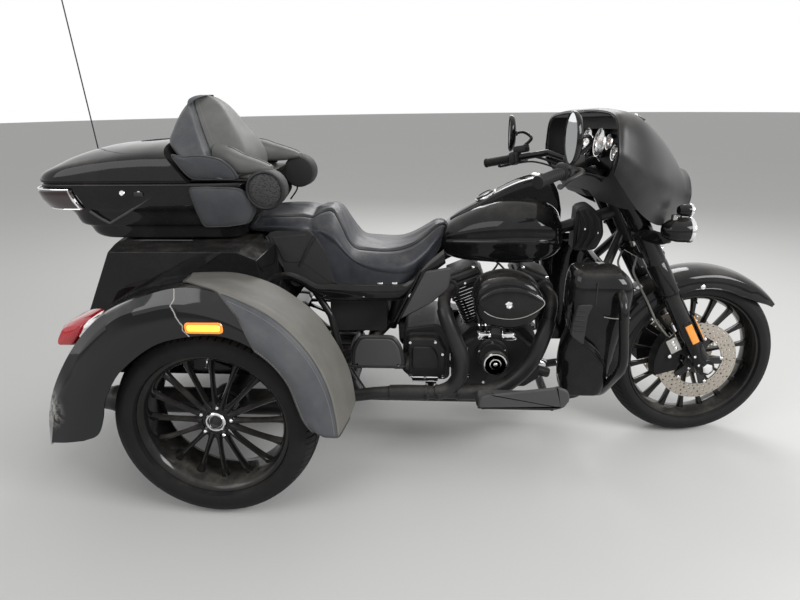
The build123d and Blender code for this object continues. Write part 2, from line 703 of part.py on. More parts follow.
@cache
def seat():
    body = side_block(SEAT_SIDE, -200, 200, 12) & plan_block(SEAT_PLAN, 600, 1000, 20)
    body = body - tank_block() - frame() - case_lower(-SEAT_GAP)
    return body.solids().sort_by(SortBy.VOLUME)[-1]


def side_covers():
    """Panels under the seat on both sides, from the trunk forward to the tank."""
    panel = side_block([(-470, 838), (-396, 818), (-288, 724), (-210, 672), (-98, 654), (-10, 680), (56, 762),
                        (96, 744), (24, 700), (-40, 634), (-78, 606), (-206, 596), (-336, 606), (-404, 654),
                        (-462, 690)], -182, -150, 5)
    panel = panel - seat()
    return both(panel.solids().sort_by(SortBy.VOLUME)[-1])


def battery_box():
    box = span(-340, -128, -98, 98, 440, 618)
    box = fillet(box.edges().filter_by(Axis.Y), 14)
    return (box - frame()).solids().sort_by(SortBy.VOLUME)[-1]


# Trunk body, its door and rear fenders
@cache
def trunk_block(inset, half=TRUNK_HALF, low=TRUNK_FLOOR_Z, high=TRUNK_TOP_Z):
    """A body whose rear is an arc in plan, carried up along the rake of its back."""
    half = half - inset
    centre = TRUNK_REAR_X + inset / cos(radians(TRUNK_RAKE))
    corner = centre + TRUNK_REAR_BULGE
    face = make_face(
        ThreePointArc((corner, -half), (centre, 0), (corner, half))
        + Polyline((corner, half), (200, half), (200, -half), (corner, -half)))
    lean = Vector(tan(radians(TRUNK_RAKE)), 0, 1)
    base = low - 60
    start = Pos((base - TRUNK_FLOOR_Z) * lean.X, 0, base) * face
    body = extrude(start, amount=(high - base + 60) * lean.length, dir=lean)
    side = side_block([(-1500, low + inset), (-1500, high - inset), (-570 - inset, high - inset),
                       (-510 - inset, 800 - inset), (-476 - inset, 560), (-520 - inset, low + inset)],
                      -900, 900)
    return body & side


def door_window(gap):
    """The space of the rear door, grown by a gap."""
    half = DOOR_HALF + gap
    return span(-1500, -900, -half, half, DOOR_BOTTOM_Z - gap, DOOR_TOP_Z + gap)


AXLE_TUNNEL_R = 150


def trunk_body():
    body = trunk_block(0) - trunk_block(TRUNK_WALL)
    body -= door_window(DOOR_GAP)
    body -= span(-800, -460, -AXLE_TUNNEL_R, AXLE_TUNNEL_R, 300, 470)
    body += (trunk_block(0) & (span(-806, -454, -AXLE_TUNNEL_R - 6, AXLE_TUNNEL_R + 6, 390, 476)
                               - span(-800, -460, -AXLE_TUNNEL_R, AXLE_TUNNEL_R, 300, 470)))
    body = body.solids().sort_by(SortBy.VOLUME)[-1]
    x, z = DOOR_HINGE
    for y in (-HINGE_Y, HINGE_Y):
        for edge in (-1, 1):
            ear_y = y + edge * (KNUCKLE_HALF + EAR_GAP)
            ear = span(x - 8, DOOR_LEAF_X, ear_y - EAR_T / 2, ear_y + EAR_T / 2, z - 10, z + 6)
            body += ear - trunk_block(TRUNK_WALL)
        body += rod((x, y - KNUCKLE_HALF - EAR_GAP, z), (x, y + KNUCKLE_HALF + EAR_GAP, z), HINGE_PIN_R)
    return body


# Hinges of the door and of the lid: a knuckle on the moving piece between two ears on a pin
DOOR_HINGE = (-1232, 478)
DOOR_LEAF_X = -1180
HINGE_Y = 180
KNUCKLE_HALF = 22
KNUCKLE_R = 7
HINGE_PIN_R = 3.5
EAR_GAP = 4
EAR_T = 7


def trunk_door():
    """A drop-down door, hinged along its foot on two knuckles."""
    door = (trunk_block(0) - trunk_block(DOOR_THICK)) & door_window(0)
    door = door.solids().sort_by(Axis.X)[0]
    door += Pos(TRUNK_REAR_X + 152, 0, 742) * Box(40, 130, 22)
    x, z = DOOR_HINGE
    leaf_z = DOOR_BOTTOM_Z + 20
    for y in (-HINGE_Y, HINGE_Y):
        near, far = y - KNUCKLE_HALF, y + KNUCKLE_HALF
        leaf = span(x - KNUCKLE_R, x - 2, near, far, z, leaf_z)
        leaf += span(x - KNUCKLE_R, DOOR_LEAF_X, near, far, leaf_z - 16, leaf_z) - trunk_block(DOOR_THICK)
        door += rod((x, near, z), (x, far, z), KNUCKLE_R)
        door += leaf
        door -= rod((x, near - 20, z), (x, far + 20, z), HINGE_PIN_R + RUNNING_FIT)
    return door.solids().sort_by(SortBy.VOLUME)[-1]


# The fender's outer line, as x, z from the rear foot over the top to the front foot
FENDER_LINE = [(-1152, 262), (-1112, 520), (-950, 706), (-740, 784), (-560, 796), (-386, 730), (-262, 566),
               (-220, 400), (-238, 318)]
ARCH_R = REAR_TYRE_R + 7
ARCH_X = REAR_AXLE_X + 14
FENDER_INNER_Y = TRUNK_HALF


def fender_face(offset):
    """The fender's side outline, drawn in by an offset, as arcs through its points."""
    cx, cz = REAR_AXLE_X - 20, 330
    pts = []
    for x, z in FENDER_LINE:
        d = sqrt((x - cx) ** 2 + (z - cz) ** 2)
        k = (d - offset) / d
        pts.append((cx + (x - cx) * k, cz + (z - cz) * k))
    crown = FilletPolyline(*pts, radius=corner_radii(pts))
    return make_face(crown + Line(pts[-1], pts[0]))


@cache
def fender_block(inset, edge, start_y=FENDER_INNER_Y):
    """The fender as a filled form on the right, its outer edge rounded."""
    y_out = -FENDER_OUTER_Y + inset
    body = Pos(0, -start_y, 0) * extrude(Plane.XZ * fender_face(inset), amount=-y_out - start_y)
    (x0, z0), (x1, z1) = FENDER_LINE[0], FENDER_LINE[-1]
    foot = Edge.make_line((x0, 0, z0), (x1, 0, z1))
    rim_edges = [e for e in body.faces().sort_by(Axis.Y)[0].edges() if e.length < 0.8 * foot.length]
    return fillet(rim_edges, edge)


def arch_cut():
    """What the arch leaves open: the wheel's circle through the outer wall, and the space below."""
    well = Pos(ARCH_X, -FENDER_OUTER_Y, REAR_TYRE_R) * Rot(90, 0, 0) * Cylinder(ARCH_R, 120)
    foot = side_block([(-1000, 200), (-1000, 312), (-936, 410), (-300, 410), (-296, 356), (-150, 346),
                       (-150, 200)], -FENDER_OUTER_Y - 60, -FENDER_OUTER_Y + 60)
    return well + foot


@cache
def rear_fender_right():
    shell = fender_block(0, FENDER_EDGE_R)
    shell -= fender_block(FENDER_T, FENDER_EDGE_R - FENDER_T, FENDER_INNER_Y - 20)
    shell -= arch_cut()
    shell -= span(-1130, -266, -FENDER_INNER_Y + 20, -FENDER_OUTER_Y + 8, 100, 400)
    return shell.solids().sort_by(SortBy.VOLUME)[-1]


def rear_fender(side):
    shell = rear_fender_right()
    return shell if side < 0 else mirror_y(shell)


def fender_covers():
    """Fitted covers stretched over the front half of each rear fender."""
    skin = fender_block(-COVER_T - SEAT_GAP, FENDER_EDGE_R + COVER_T)
    skin -= fender_block(-SEAT_GAP, FENDER_EDGE_R, FENDER_INNER_Y - 20)
    zone = side_block([(-660, 900), (-654, 790), (-530, 768), (-493, 710), (-454, 630), (-352, 510),
                       (-300, 366), (-300, 250), (-100, 250), (-100, 900)], -900, -FENDER_INNER_Y - 40, 10)
    skin = (skin & zone) - arch_cut()
    skin -= span(-1130, -266, -FENDER_INNER_Y + 20, -FENDER_OUTER_Y + 8, 100, 400)
    return both(skin.solids().sort_by(SortBy.VOLUME)[-1])


PLATE_HOLE_Y = 85
PLATE_HOLE_R = 3.5


def rear_bumper():
    """A bar under the trunk door with a blank number plate on its bracket."""
    half = [(-1158, -512, 424), (-1188, -446, 384), (-1238, -280, 384), (-1262, -80, 384)]
    bar = tube(half + [(x, -y, z) for x, y, z in reversed(half)], 15, 36)
    plate = Pos(-1292, 0, 410) * Box(6, 230, 125)
    for y in (-PLATE_HOLE_Y, PLATE_HOLE_Y):
        plate -= Pos(-1292, y, 446) * Rot(0, 90, 0) * Cylinder(PLATE_HOLE_R, 20)
    arm = span(-1290, -1262, -40, 40, 372, 396)
    bar += arm
    bar += plate
    for y in (-200, 200):
        bar += span(-1240, -1120, y - 20, y + 20, 378, 399.7)
    return bar.solids().sort_by(SortBy.VOLUME)[-1]


# Rear axle
SWINGARM_PIVOT = (-262, 330)
SWINGARM_R = 24
HOUSING_R = 112
AXLE_TUBE_R = 38


def rear_axle():
    """The driven axle: differential housing, axle tubes with their stubs, and the arms to the pivot."""
    x, z = REAR_AXLE_X, REAR_TYRE_R
    pivot_x, pivot_z = SWINGARM_PIVOT
    tube_end = REAR_WHEEL_Y - HUB_HALF - 14
    stub_end = REAR_WHEEL_Y + HUB_HALF - 2
    disc_y = REAR_WHEEL_Y - HUB_HALF - 40
    axle = Pos(x, 0, z) * Rot(90, 0, 0) * Cylinder(HOUSING_R, 190)
    axle += rod((x, -tube_end, z), (x, tube_end, z), AXLE_TUBE_R)
    axle += rod((x, -stub_end, z), (x, stub_end, z), STUB_R)
    for y in (-1, 1):
        axle += rod((x + 20, y * 90, z), (pivot_x, y * 90, pivot_z), SWINGARM_R)
        axle += Pos(x, y * disc_y, z) * Rot(90, 0, 0) * Cylinder(60, 16)
    axle += rod((pivot_x, -112, pivot_z), (pivot_x, 112, pivot_z), SWINGARM_R)
    axle = axle - frame()
    return axle.solids().sort_by(SortBy.VOLUME)[-1]


# Top case, lid, backrest and rear lamps
# The case's outlines in plan: middle x, length, half width, corner radius
CASE_RIM = ((CASE_FRONT_X + CASE_REAR_X) / 2, CASE_FRONT_X - CASE_REAR_X, CASE_HALF, 110)
CASE_FLOOR = (CASE_RIM[0] + 35, CASE_RIM[1] - 210, CASE_HALF - 46, 70)


def case_outline(row, z, grow=0):
    """One of the case's outlines at a height, grown on every side."""
    middle, length, half, r = row
    return Pos(middle, 0, z) * RectangleRounded(length + 2 * grow, 2 * (half + grow), r + grow)


@cache
def case_lower(inset):
    return loft([case_outline(CASE_FLOOR, CASE_FLOOR_Z + inset, -inset),
                 case_outline(CASE_RIM, CASE_SEAM_Z, -inset)])


LID_HINGE = (CASE_HALF + 10, CASE_SEAM_Z + 2)
LID_HINGES_X = (-1100, -820)
LID_KNUCKLE_R = 5
LID_PIN_R = 2.5


def top_case():
    """The lower shell, with the ears and pins of the lid's hinges on its left."""
    case = case_lower(0) - case_lower(CASE_WALL)
    y, z = LID_HINGE
    for x in LID_HINGES_X:
        for edge in (-1, 1):
            ear_x = x + edge * (KNUCKLE_HALF + EAR_GAP)
            near, far = ear_x - EAR_T / 2, ear_x + EAR_T / 2
            case += span(near, far, CASE_HALF - 8, y + 5, z - 12, CASE_SEAM_Z) - case_lower(CASE_WALL)
            case += span(near, far, y - 4, y + 5, z - 12, z + 5)
        case += rod((x - KNUCKLE_HALF - EAR_GAP, y, z), (x + KNUCKLE_HALF + EAR_GAP, y, z), LID_PIN_R)
    return case


FLANGE_Z = CASE_SEAM_Z + LID_GAP + 8
LID_CUT = [(-868, 1160), (-764, FLANGE_Z), (-400, FLANGE_Z), (-400, 1300), (-868, 1300)]
LID_WALL = [(-868, 1160), (-764, FLANGE_Z), (-764, FLANGE_Z - 8), (-776, FLANGE_Z - 8), (-880, 1160)]


LID_SHOULDER = (-895, 640, CASE_HALF - 28, 110)
LID_CROWN = (-905, 330, CASE_HALF - 130, 60)


def case_lid_block(inset):
    base = CASE_SEAM_Z + LID_GAP
    low = case_outline(CASE_RIM, base, -inset)
    mid = case_outline(LID_SHOULDER, base + 72 - inset, -inset)
    middle, length, half, r = LID_CROWN
    top = Pos(middle, 0, LID_TOP_Z - inset) * RectangleRounded(length - inset, 2 * (half - inset), r)
    return loft([low, mid]) + loft([mid, top])


@cache
def case_lid():
    """A shell lid, its front cut back on a slant to carry the backrest on a flange."""
    lid = case_lid_block(0) - case_lid_block(CASE_WALL)
    lid -= side_block(LID_CUT, -400, 400)
    wall = case_lid_block(0) & side_block(LID_WALL, -400, 400)
    flange = case_lid_block(0) & span(-772, -400, -400, 400, FLANGE_Z - 8, FLANGE_Z)
    lid = lid + wall + flange
    y, z = LID_HINGE
    for x in LID_HINGES_X:
        leaf = span(x - KNUCKLE_HALF, x + KNUCKLE_HALF, CASE_HALF - 8, y + LID_KNUCKLE_R, z + 4, z + 12)
        lid += leaf - case_lid_block(CASE_WALL)
        lid += span(x - KNUCKLE_HALF, x + KNUCKLE_HALF, y + 1, y + LID_KNUCKLE_R, z, z + 12)
        lid += rod((x - KNUCKLE_HALF, y, z), (x + KNUCKLE_HALF, y, z), LID_KNUCKLE_R)
        lid -= rod((x - 40, y, z), (x + 40, y, z), LID_PIN_R + RUNNING_FIT)
    return lid


BACKREST_SIDE = [(-856, 1160), (-818, 1262), (-778, 1294), (-728, 1290), (-684, 1246), (-622, 1150),
                 (-600, 1060), (-612, 1034), (-752, 1034)]
ARM_SIDE = [(-838, 1132), (-700, 1128), (-590, 1100), (-500, 1112), (-486, 1086), (-560, 1076), (-590, 1040),
            (-612, 1034), (-758, 1034)]


def backrest():
    """A tall centre pad with an arm on each side, seated on the lid."""
    pad = side_block(BACKREST_SIDE, -150, 150, 12)
    arms = side_block(ARM_SIDE, -266, 266, 5) - span(-700, -300, -178, 178, 900, 1300)
    body = pad + arms
    body = body - Pos(0, 0, SEAT_GAP) * case_lid()
    return body.solids().sort_by(SortBy.VOLUME)[-1]


SPEAKER = (-500, 246, 1002)
SPEAKER_R = 66


@cache
def speaker_pods():
    pod = Pos(SPEAKER[0], -SPEAKER[1], SPEAKER[2]) * Rot(90, 0, 0) * Cylinder(SPEAKER_R, 84)
    pod = fillet(pod.edges(), 8)
    pod += span(-620, -500, -SPEAKER[1] - 20, -SPEAKER[1] + 20, 950, 1000)
    pod -= span(-700, CASE_FRONT_X + 6, -400, 400, CASE_SEAM_Z, 1200)
    pod = pod - case_lower(0)
    return both(pod.solids().sort_by(SortBy.VOLUME)[-1])


SIDE_PAD_T = 12
LAMP_BAND_T = 10


def side_pads():
    """Padded panels on the case's sides below the armrests."""
    grown = loft([case_outline(CASE_FLOOR, CASE_FLOOR_Z, SIDE_PAD_T),
                  case_outline(CASE_RIM, CASE_SEAM_Z, SIDE_PAD_T)])
    zone = side_block([(-768, 1018), (-752, 872), (-640, 868), (-600, 900), (-600, 1018)], -400, -100, 8)
    pad = (grown & zone) - case_lower(0) - speaker_pods()
    return both(pad.solids().sort_by(SortBy.VOLUME)[-1])


def case_mount():
    """Rails that carry the top case on the trunk's top and the frame's tail."""
    rail = span(-1100, -640, -112, -84, TRUNK_TOP_Z, CASE_FLOOR_Z)
    return both(rail)


@cache
def rear_lamps():
    """Two side markers, two tail lamps and the lamp band round the case."""
    marker = span(-634, -534, -FENDER_OUTER_Y - 7, -FENDER_OUTER_Y, 672, 700)
    lamp = Pos(-1030, -548, 622) * Rot(0, -35, 0) * Box(86, 120, 96)
    lamp = fillet(lamp.edges(), 22) - fender_block(0, FENDER_EDGE_R)
    lamp = lamp.solids().sort_by(SortBy.VOLUME)[-1]
    band = loft([case_outline(CASE_FLOOR, CASE_FLOOR_Z, LAMP_BAND_T),
                 case_outline(CASE_RIM, CASE_SEAM_Z, LAMP_BAND_T)])
    band = (band - case_lower(0)) & span(-1400, -1136, -400, 400, 944, 1010)
    return group(both(marker), both(lamp), band)


MAST_FOOT = (-1302, 200, 932)


def antenna():
    foot = Pos(*MAST_FOOT) * Cylinder(13, 50)
    lean = (MAST_TOP_Z - MAST_FOOT[2]) * tan(radians(4.2))
    mast = rod(MAST_FOOT, (MAST_FOOT[0] - lean, MAST_FOOT[1], MAST_TOP_Z), 2.5)
    arm = span(-1300, -1150, MAST_FOOT[1] - 12, MAST_FOOT[1] + 12, 908, 920)
    mount = (foot + mast + arm) - case_lower(0) - rear_lamps()
    return mount.solids().sort_by(SortBy.VOLUME)[-1]


# Leg fairings, guard, boards
LEG_FAIRING = [(508, 776), (650, 778), (700, 700), (676, 480), (644, 300), (500, 286), (480, 452), (514, 532),
               (492, 604)]


@cache
def leg_fairings():
    body = side_block(LEG_FAIRING, -352, -206, 24)
    body = fillet(body.faces().sort_by(Axis.Y)[0].edges(), 20)
    body = body - frame() - exhaust_pipes()
    return both(body.solids().sort_by(SortBy.VOLUME)[-1])


def engine_guard():
    """A tube loop on each side ahead of the leg fairings, joined across the frame."""
    loop = tube([(652, 0, 706), (662, -200, 706), (702, -395, 690), (706, -395, 430), (660, -210, 250),
                 (640, -150, 236), (640, 150, 236), (660, 210, 250), (706, 395, 430), (702, 395, 690),
                 (662, 200, 706), (651.9, 0, 706)], TUBE_R, 28)
    loop = loop - frame() - leg_fairings()
    return loop.solids().sort_by(SortBy.VOLUME)[-1]


def rider_footboards():
    """Boards on brackets that reach out from the cradle's lower rails."""
    board = side_block([(196, 300), (470, 308), (512, 336), (512, 322), (474, 292), (196, 284)], -412, -292)
    for x in (250, 420):
        board += span(x - 15, x + 15, -330, -150, 200, 212)
        board += span(x - 15, x + 15, -330, -314, 200, 290)
    board = board - frame() - leg_fairings()
    return both(board.solids().sort_by(SortBy.VOLUME)[-1])


PF_PIVOT_Y = 268
PF_PIVOT_Z = 372


def passenger_footboard(side):
    """A board folded up against its side, on a pin along its foot."""
    board = side_block([(-244, PF_PIVOT_Z), (-50, PF_PIVOT_Z), (-50, 452), (-84, 492), (-210, 492),
                        (-244, 452)], -PF_PIVOT_Y - 9, -PF_PIVOT_Y + 9, 16)
    board += rod((-232, -PF_PIVOT_Y, PF_PIVOT_Z), (-62, -PF_PIVOT_Y, PF_PIVOT_Z), 9)
    board -= rod((-260, -PF_PIVOT_Y, PF_PIVOT_Z), (-30, -PF_PIVOT_Y, PF_PIVOT_Z), 4 + RUNNING_FIT)
    return board if side < 0 else mirror_y(board)


def footboard_pins():
    """The pins and arms that carry the passenger boards."""
    pin = rod((-256, -PF_PIVOT_Y, PF_PIVOT_Z), (-38, -PF_PIVOT_Y, PF_PIVOT_Z), 4)
    for x in (-252, -42):
        pin += span(x - 5, x + 5, -PF_PIVOT_Y - 8, -160, PF_PIVOT_Z - 8, PF_PIVOT_Z + 8)
    pin += span(-257, -37, -172, -160, PF_PIVOT_Z - 8, PF_PIVOT_Z + 8)
    right = (pin - gearbox()).solids().sort_by(SortBy.VOLUME)[-1]
    left = (mirror_y(pin) - primary_cover() - gearbox()).solids().sort_by(SortBy.VOLUME)[-1]
    return group(right, left)


NODES = {
    "frame": frame,
    "crankcase": crankcase,
    "cylinders": cylinders,
    "gearbox": gearbox,
    "primary_cover": primary_cover,
    "air_cleaner": air_cleaner,
    "exhaust_pipes": exhaust_pipes,
    "mufflers": mufflers,
    "fuel_tank": fuel_tank,
    "tank_console": tank_console,
    "seat": seat,
    "side_covers": side_covers,
    "battery_box": battery_box,
    "trunk_body": trunk_body,
    "trunk_door": trunk_door,
    "rear_fender_right": lambda: rear_fender(-1),
    "rear_fender_left": lambda: rear_fender(1),
    "fender_covers": fender_covers,
    "rear_bumper": rear_bumper,
    "rear_axle": rear_axle,
    "top_case": top_case,
    "case_lid": case_lid,
    "backrest": backrest,
    "speaker_pods": speaker_pods,
    "side_pads": side_pads,
    "case_mount": case_mount,
    "rear_lamps": rear_lamps,
    "antenna": antenna,
    "leg_fairings": leg_fairings,
    "engine_guard": engine_guard,
    "rider_footboards": rider_footboards,
    "footboard_pins": footboard_pins,
    "passenger_footboard_right": lambda: passenger_footboard(-1),
    "passenger_footboard_left": lambda: passenger_footboard(1),
    "front_fork": front_fork,
    "front_fender": front_fender,
    "brake_calipers": brake_calipers,
    "brake_hoses": brake_hoses,
    "handlebar": handlebar,
    "hand_controls": hand_controls,
    "mirrors": mirrors,
    "fairing_outer": fairing_outer,
    "fairing_inner": fairing_inner,
    "front_lamps": front_lamps,
    "front_tyre": front_tyre,
    "front_rim": front_rim,
    "front_discs": front_discs,
    "rear_tyre_right": lambda: rear_tyre(-1),
    "rear_rim_right": lambda: rear_rim(-1),
    "rear_tyre_left": lambda: rear_tyre(1),
    "rear_rim_left": lambda: rear_rim(1),
}


os.makedirs("parts", exist_ok=True)
for name, build in NODES.items():
    export_step(build(), f"parts/{name}.step")
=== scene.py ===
# %% [markdown]
# # A touring trike, dressed for its picture
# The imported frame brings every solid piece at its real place. This lesson gives each of them a finish, and
# builds finer pieces over the plain ones: tyres, fins, cushions, covers, lamps and cables.
# Everything is in metres: +X forward, +Y to the rider's left, +Z up, ground at zero.

# %% Load the frame
import json
from math import cos, pi, radians, sin, tan

import bmesh
import bpy
import numpy as np
from mathutils import Matrix, Vector

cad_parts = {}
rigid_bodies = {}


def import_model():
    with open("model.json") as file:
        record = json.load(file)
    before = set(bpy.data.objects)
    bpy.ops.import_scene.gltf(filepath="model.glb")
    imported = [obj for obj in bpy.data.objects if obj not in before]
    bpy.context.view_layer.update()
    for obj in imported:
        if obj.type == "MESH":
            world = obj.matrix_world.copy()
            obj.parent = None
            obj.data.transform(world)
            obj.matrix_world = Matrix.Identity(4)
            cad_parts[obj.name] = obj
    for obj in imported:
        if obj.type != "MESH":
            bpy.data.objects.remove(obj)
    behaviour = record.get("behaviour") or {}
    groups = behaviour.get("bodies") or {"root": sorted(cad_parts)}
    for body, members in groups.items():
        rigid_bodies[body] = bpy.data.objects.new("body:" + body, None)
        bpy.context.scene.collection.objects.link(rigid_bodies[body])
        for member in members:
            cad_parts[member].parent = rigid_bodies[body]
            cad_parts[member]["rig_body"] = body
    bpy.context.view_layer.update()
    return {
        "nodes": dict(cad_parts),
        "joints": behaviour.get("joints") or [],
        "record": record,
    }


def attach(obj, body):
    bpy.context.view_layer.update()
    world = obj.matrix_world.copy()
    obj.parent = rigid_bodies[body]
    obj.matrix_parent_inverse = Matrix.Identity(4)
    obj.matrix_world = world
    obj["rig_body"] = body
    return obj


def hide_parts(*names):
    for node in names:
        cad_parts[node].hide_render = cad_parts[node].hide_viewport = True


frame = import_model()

# %% [markdown]
# ## The camera
# The photograph was taken from the right of the trike, a little above the seat. The view is written as a
# place, three turns and a lens, and the matrix's columns are the camera's right, up and backward
# directions.

# %% Camera
EYE = (0.0646, -2.1872, 1.2943)
YAW, PITCH, ROLL = 0.06733, 0.33539, -0.01369
FOCAL_PX, IMAGE_W, SENSOR = 592.2, 800, 36


def turned_camera():
    """Forward, right and up directions of the view, from its yaw to the left, pitch down and roll."""
    forward = Vector((-sin(YAW) * cos(PITCH), cos(YAW) * cos(PITCH), -sin(PITCH)))
    right = Vector((cos(YAW), sin(YAW), 0))
    up = right.cross(forward)
    return forward, right * cos(ROLL) + up * sin(ROLL), up * cos(ROLL) - right * sin(ROLL)


camera = bpy.data.objects.new("camera", bpy.data.cameras.new("camera"))
forward, right, up = turned_camera()
camera.matrix_world = Matrix.Translation(EYE) @ Matrix((right, up, -forward)).transposed().to_4x4()
camera.data.sensor_width = SENSOR
camera.data.lens = FOCAL_PX * SENSOR / IMAGE_W
camera.data.clip_end = 200
bpy.context.scene.collection.objects.link(camera)
bpy.context.scene.camera = camera
print("lens", round(camera.data.lens, 2), "mm")

# %% [markdown]
# ## Shader sums written as Python
# A finish is a small sum: dust where the surface looks up, grain where it is rubber. One class wraps a
# socket so that such a sum is written with + and *, and one method makes any other node.

# %% Shader helpers
class Wire:
    """A shader value that takes part in Python sums."""

    def __init__(self, tree, socket):
        self.tree, self.socket = tree, socket

    def math(self, operation, other, swap=False):
        pair = (other, self) if swap else (self, other)
        return add_node(self.tree, "ShaderNodeMath", {"operation": operation}, dict(enumerate(pair)))

    def __add__(self, other):
        return self.math("ADD", other)

    def __sub__(self, other):
        return self.math("SUBTRACT", other)

    def __rsub__(self, other):
        return self.math("SUBTRACT", other, True)

    def __mul__(self, other):
        return self.math("MULTIPLY", other)

    def __pow__(self, other):
        return self.math("POWER", other)

    def least(self, other):
        return self.math("MINIMUM", other)

    def most(self, other):
        return self.math("MAXIMUM", other)

    __radd__ = __add__
    __rmul__ = __mul__


def add_node(tree, kind, settings=None, sockets=None, out=0):
    """Makes a node: its settings, then the values or links of its sockets; gives one output."""
    node = tree.nodes.new(kind)
    for name, value in (settings or {}).items():
        setattr(node, name, value)
    for name, value in (sockets or {}).items():
        if isinstance(value, Wire):
            tree.links.new(value.socket, node.inputs[name])
        else:
            node.inputs[name].default_value = value
    return Wire(tree, node.outputs[out])


def rgb(colour):
    return (*colour, 1.0)


class Finish:
    """One material: patterns on object coordinates, and the surface that they feed."""

    def __init__(self, name, **constants):
        self.material = bpy.data.materials.new(name)
        self.material.use_nodes = True
        self.tree = self.material.node_tree
        self.tree.nodes.clear()
        self.surface = self.tree.nodes.new("ShaderNodeBsdfPrincipled")
        output = self.tree.nodes.new("ShaderNodeOutputMaterial")
        self.tree.links.new(self.surface.outputs[0], output.inputs[0])
        self.place = self.node("ShaderNodeTexCoord", out="Object")
        self.feed(**constants)

    def node(self, kind, settings=None, sockets=None, out=0):
        return add_node(self.tree, kind, settings, sockets, out)

    def feed(self, **inputs):
        """Sets sockets of the surface by name, with _ for a space, to numbers, colours or wires."""
        for name, value in inputs.items():
            socket = self.surface.inputs[name.replace("_", " ").title().replace("Ior", "IOR")]
            if isinstance(value, Wire):
                self.tree.links.new(value.socket, socket)
            else:
                socket.default_value = rgb(value) if isinstance(value, tuple) and len(value) == 3 else value

    def noise(self, scale, detail=3.0, roughness=0.55, place=None, distortion=0.0):
        return self.node("ShaderNodeTexNoise", {"noise_dimensions": "3D"}, {
            "Vector": place or self.place, "Scale": scale, "Detail": detail, "Roughness": roughness,
            "Distortion": distortion})

    def cells(self, scale, feature="F1", place=None, out="Distance"):
        return self.node("ShaderNodeTexVoronoi", {"feature": feature}, {
            "Vector": place or self.place, "Scale": scale}, out)

    def stretched(self, x, y, z):
        """Object coordinates scaled by one number per axis."""
        return self.node("ShaderNodeVectorMath", {"operation": "MULTIPLY"}, {0: self.place, 1: (x, y, z)})

    def step(self, value, low, high):
        """0 under low, 1 over high, smooth between them."""
        return self.node("ShaderNodeMapRange", {"interpolation_type": "SMOOTHSTEP"}, {
            "Value": value, "From Min": low, "From Max": high})

    def axis(self, which, place=None):
        return self.node("ShaderNodeSeparateXYZ", None, {0: place or self.place}, which)

    def facing_up(self, low=0.35, high=0.95):
        normal = self.node("ShaderNodeNewGeometry", out="Normal")
        return self.step(self.node("ShaderNodeSeparateXYZ", None, {0: normal}, "Z"), low, high)

    def mix(self, share, first, second):
        """The first colour where share is 0 and the second where it is 1."""
        node = self.tree.nodes.new("ShaderNodeMix")
        node.data_type = "RGBA"
        for socket, value in ((node.inputs[0], share), (node.inputs[6], first), (node.inputs[7], second)):
            if isinstance(value, Wire):
                self.tree.links.new(value.socket, socket)
            else:
                socket.default_value = rgb(value) if isinstance(value, tuple) else value
        return Wire(self.tree, node.outputs[2])

    def bump(self, height, depth, strength=1.0):
        self.feed(normal=self.node("ShaderNodeBump", None, {
            "Height": height, "Strength": strength, "Distance": depth}))


print("shader helpers ready")

# %% [markdown]
# ## The finishes
# Black on black is told apart by gloss. Lacquer is near black with a clear coat, engine parts have a
# wrinkled satin paint, rubber and vinyl hardly shine. Road dust lies on everything that looks up, so one
# function adds it.

# %% Paint and metal
def with_dust(finish, base, amount, roughness, dusty_roughness, dust=(0.30, 0.28, 0.25)):
    """Mixes pale dust over a base colour on upward faces, broken up by noise, and dulls the gloss there."""
    patches = finish.step(finish.noise(9.0, 6.0, 0.65), 0.40, 0.75)
    specks = finish.step(finish.noise(420.0, 2.0), 0.60, 0.78)
    veil = (finish.facing_up() * 0.75 + 0.12) * (patches * 0.6 + 0.2 + specks * 0.5) * amount
    finish.feed(base_color=finish.mix(veil, base, dust),
                roughness=veil * (dusty_roughness - roughness) + roughness)
    return veil


def lacquer(name, base, amount=0.35, roughness=0.06):
    """Deep gloss paint under a clear coat, with the faint ripple of sprayed lacquer."""
    finish = Finish(name, specular_ior_level=0.22, coat_weight=0.12, coat_roughness=0.03)
    with_dust(finish, base, amount, roughness, 0.38)
    finish.bump(finish.noise(180.0, 1.0), 0.00004, 0.5)
    return finish.material


def engine_paint(name, base, roughness, grain=900.0, depth=0.00025, amount=0.5):
    """Wrinkled or powder-coated metal: fine noise, with a little coarse noise, lifts the surface."""
    finish = Finish(name, specular_ior_level=0.28)
    with_dust(finish, base, amount, roughness, 0.75)
    finish.bump(finish.noise(grain, 2.0, 0.6) + finish.noise(60.0, 2.0) * 0.4, depth)
    return finish.material


def bare_metal(name, base, roughness, streak=(60.0, 60.0, 900.0), stain=(0.25, 0.17, 0.11), stained=0.3):
    """Ground or plated metal with fine tool lines and a little brown staining."""
    finish = Finish(name, metallic=1.0)
    lines = finish.noise(1.0, 3.0, 0.6, finish.stretched(*streak))
    marks = finish.step(finish.noise(28.0, 5.0, 0.7), 0.52, 0.80) * stained
    finish.feed(base_color=finish.mix(marks, base, stain), roughness=lines * 0.16 + roughness + marks * 0.3)
    finish.bump(lines, 0.00003, 0.6)
    return finish.material


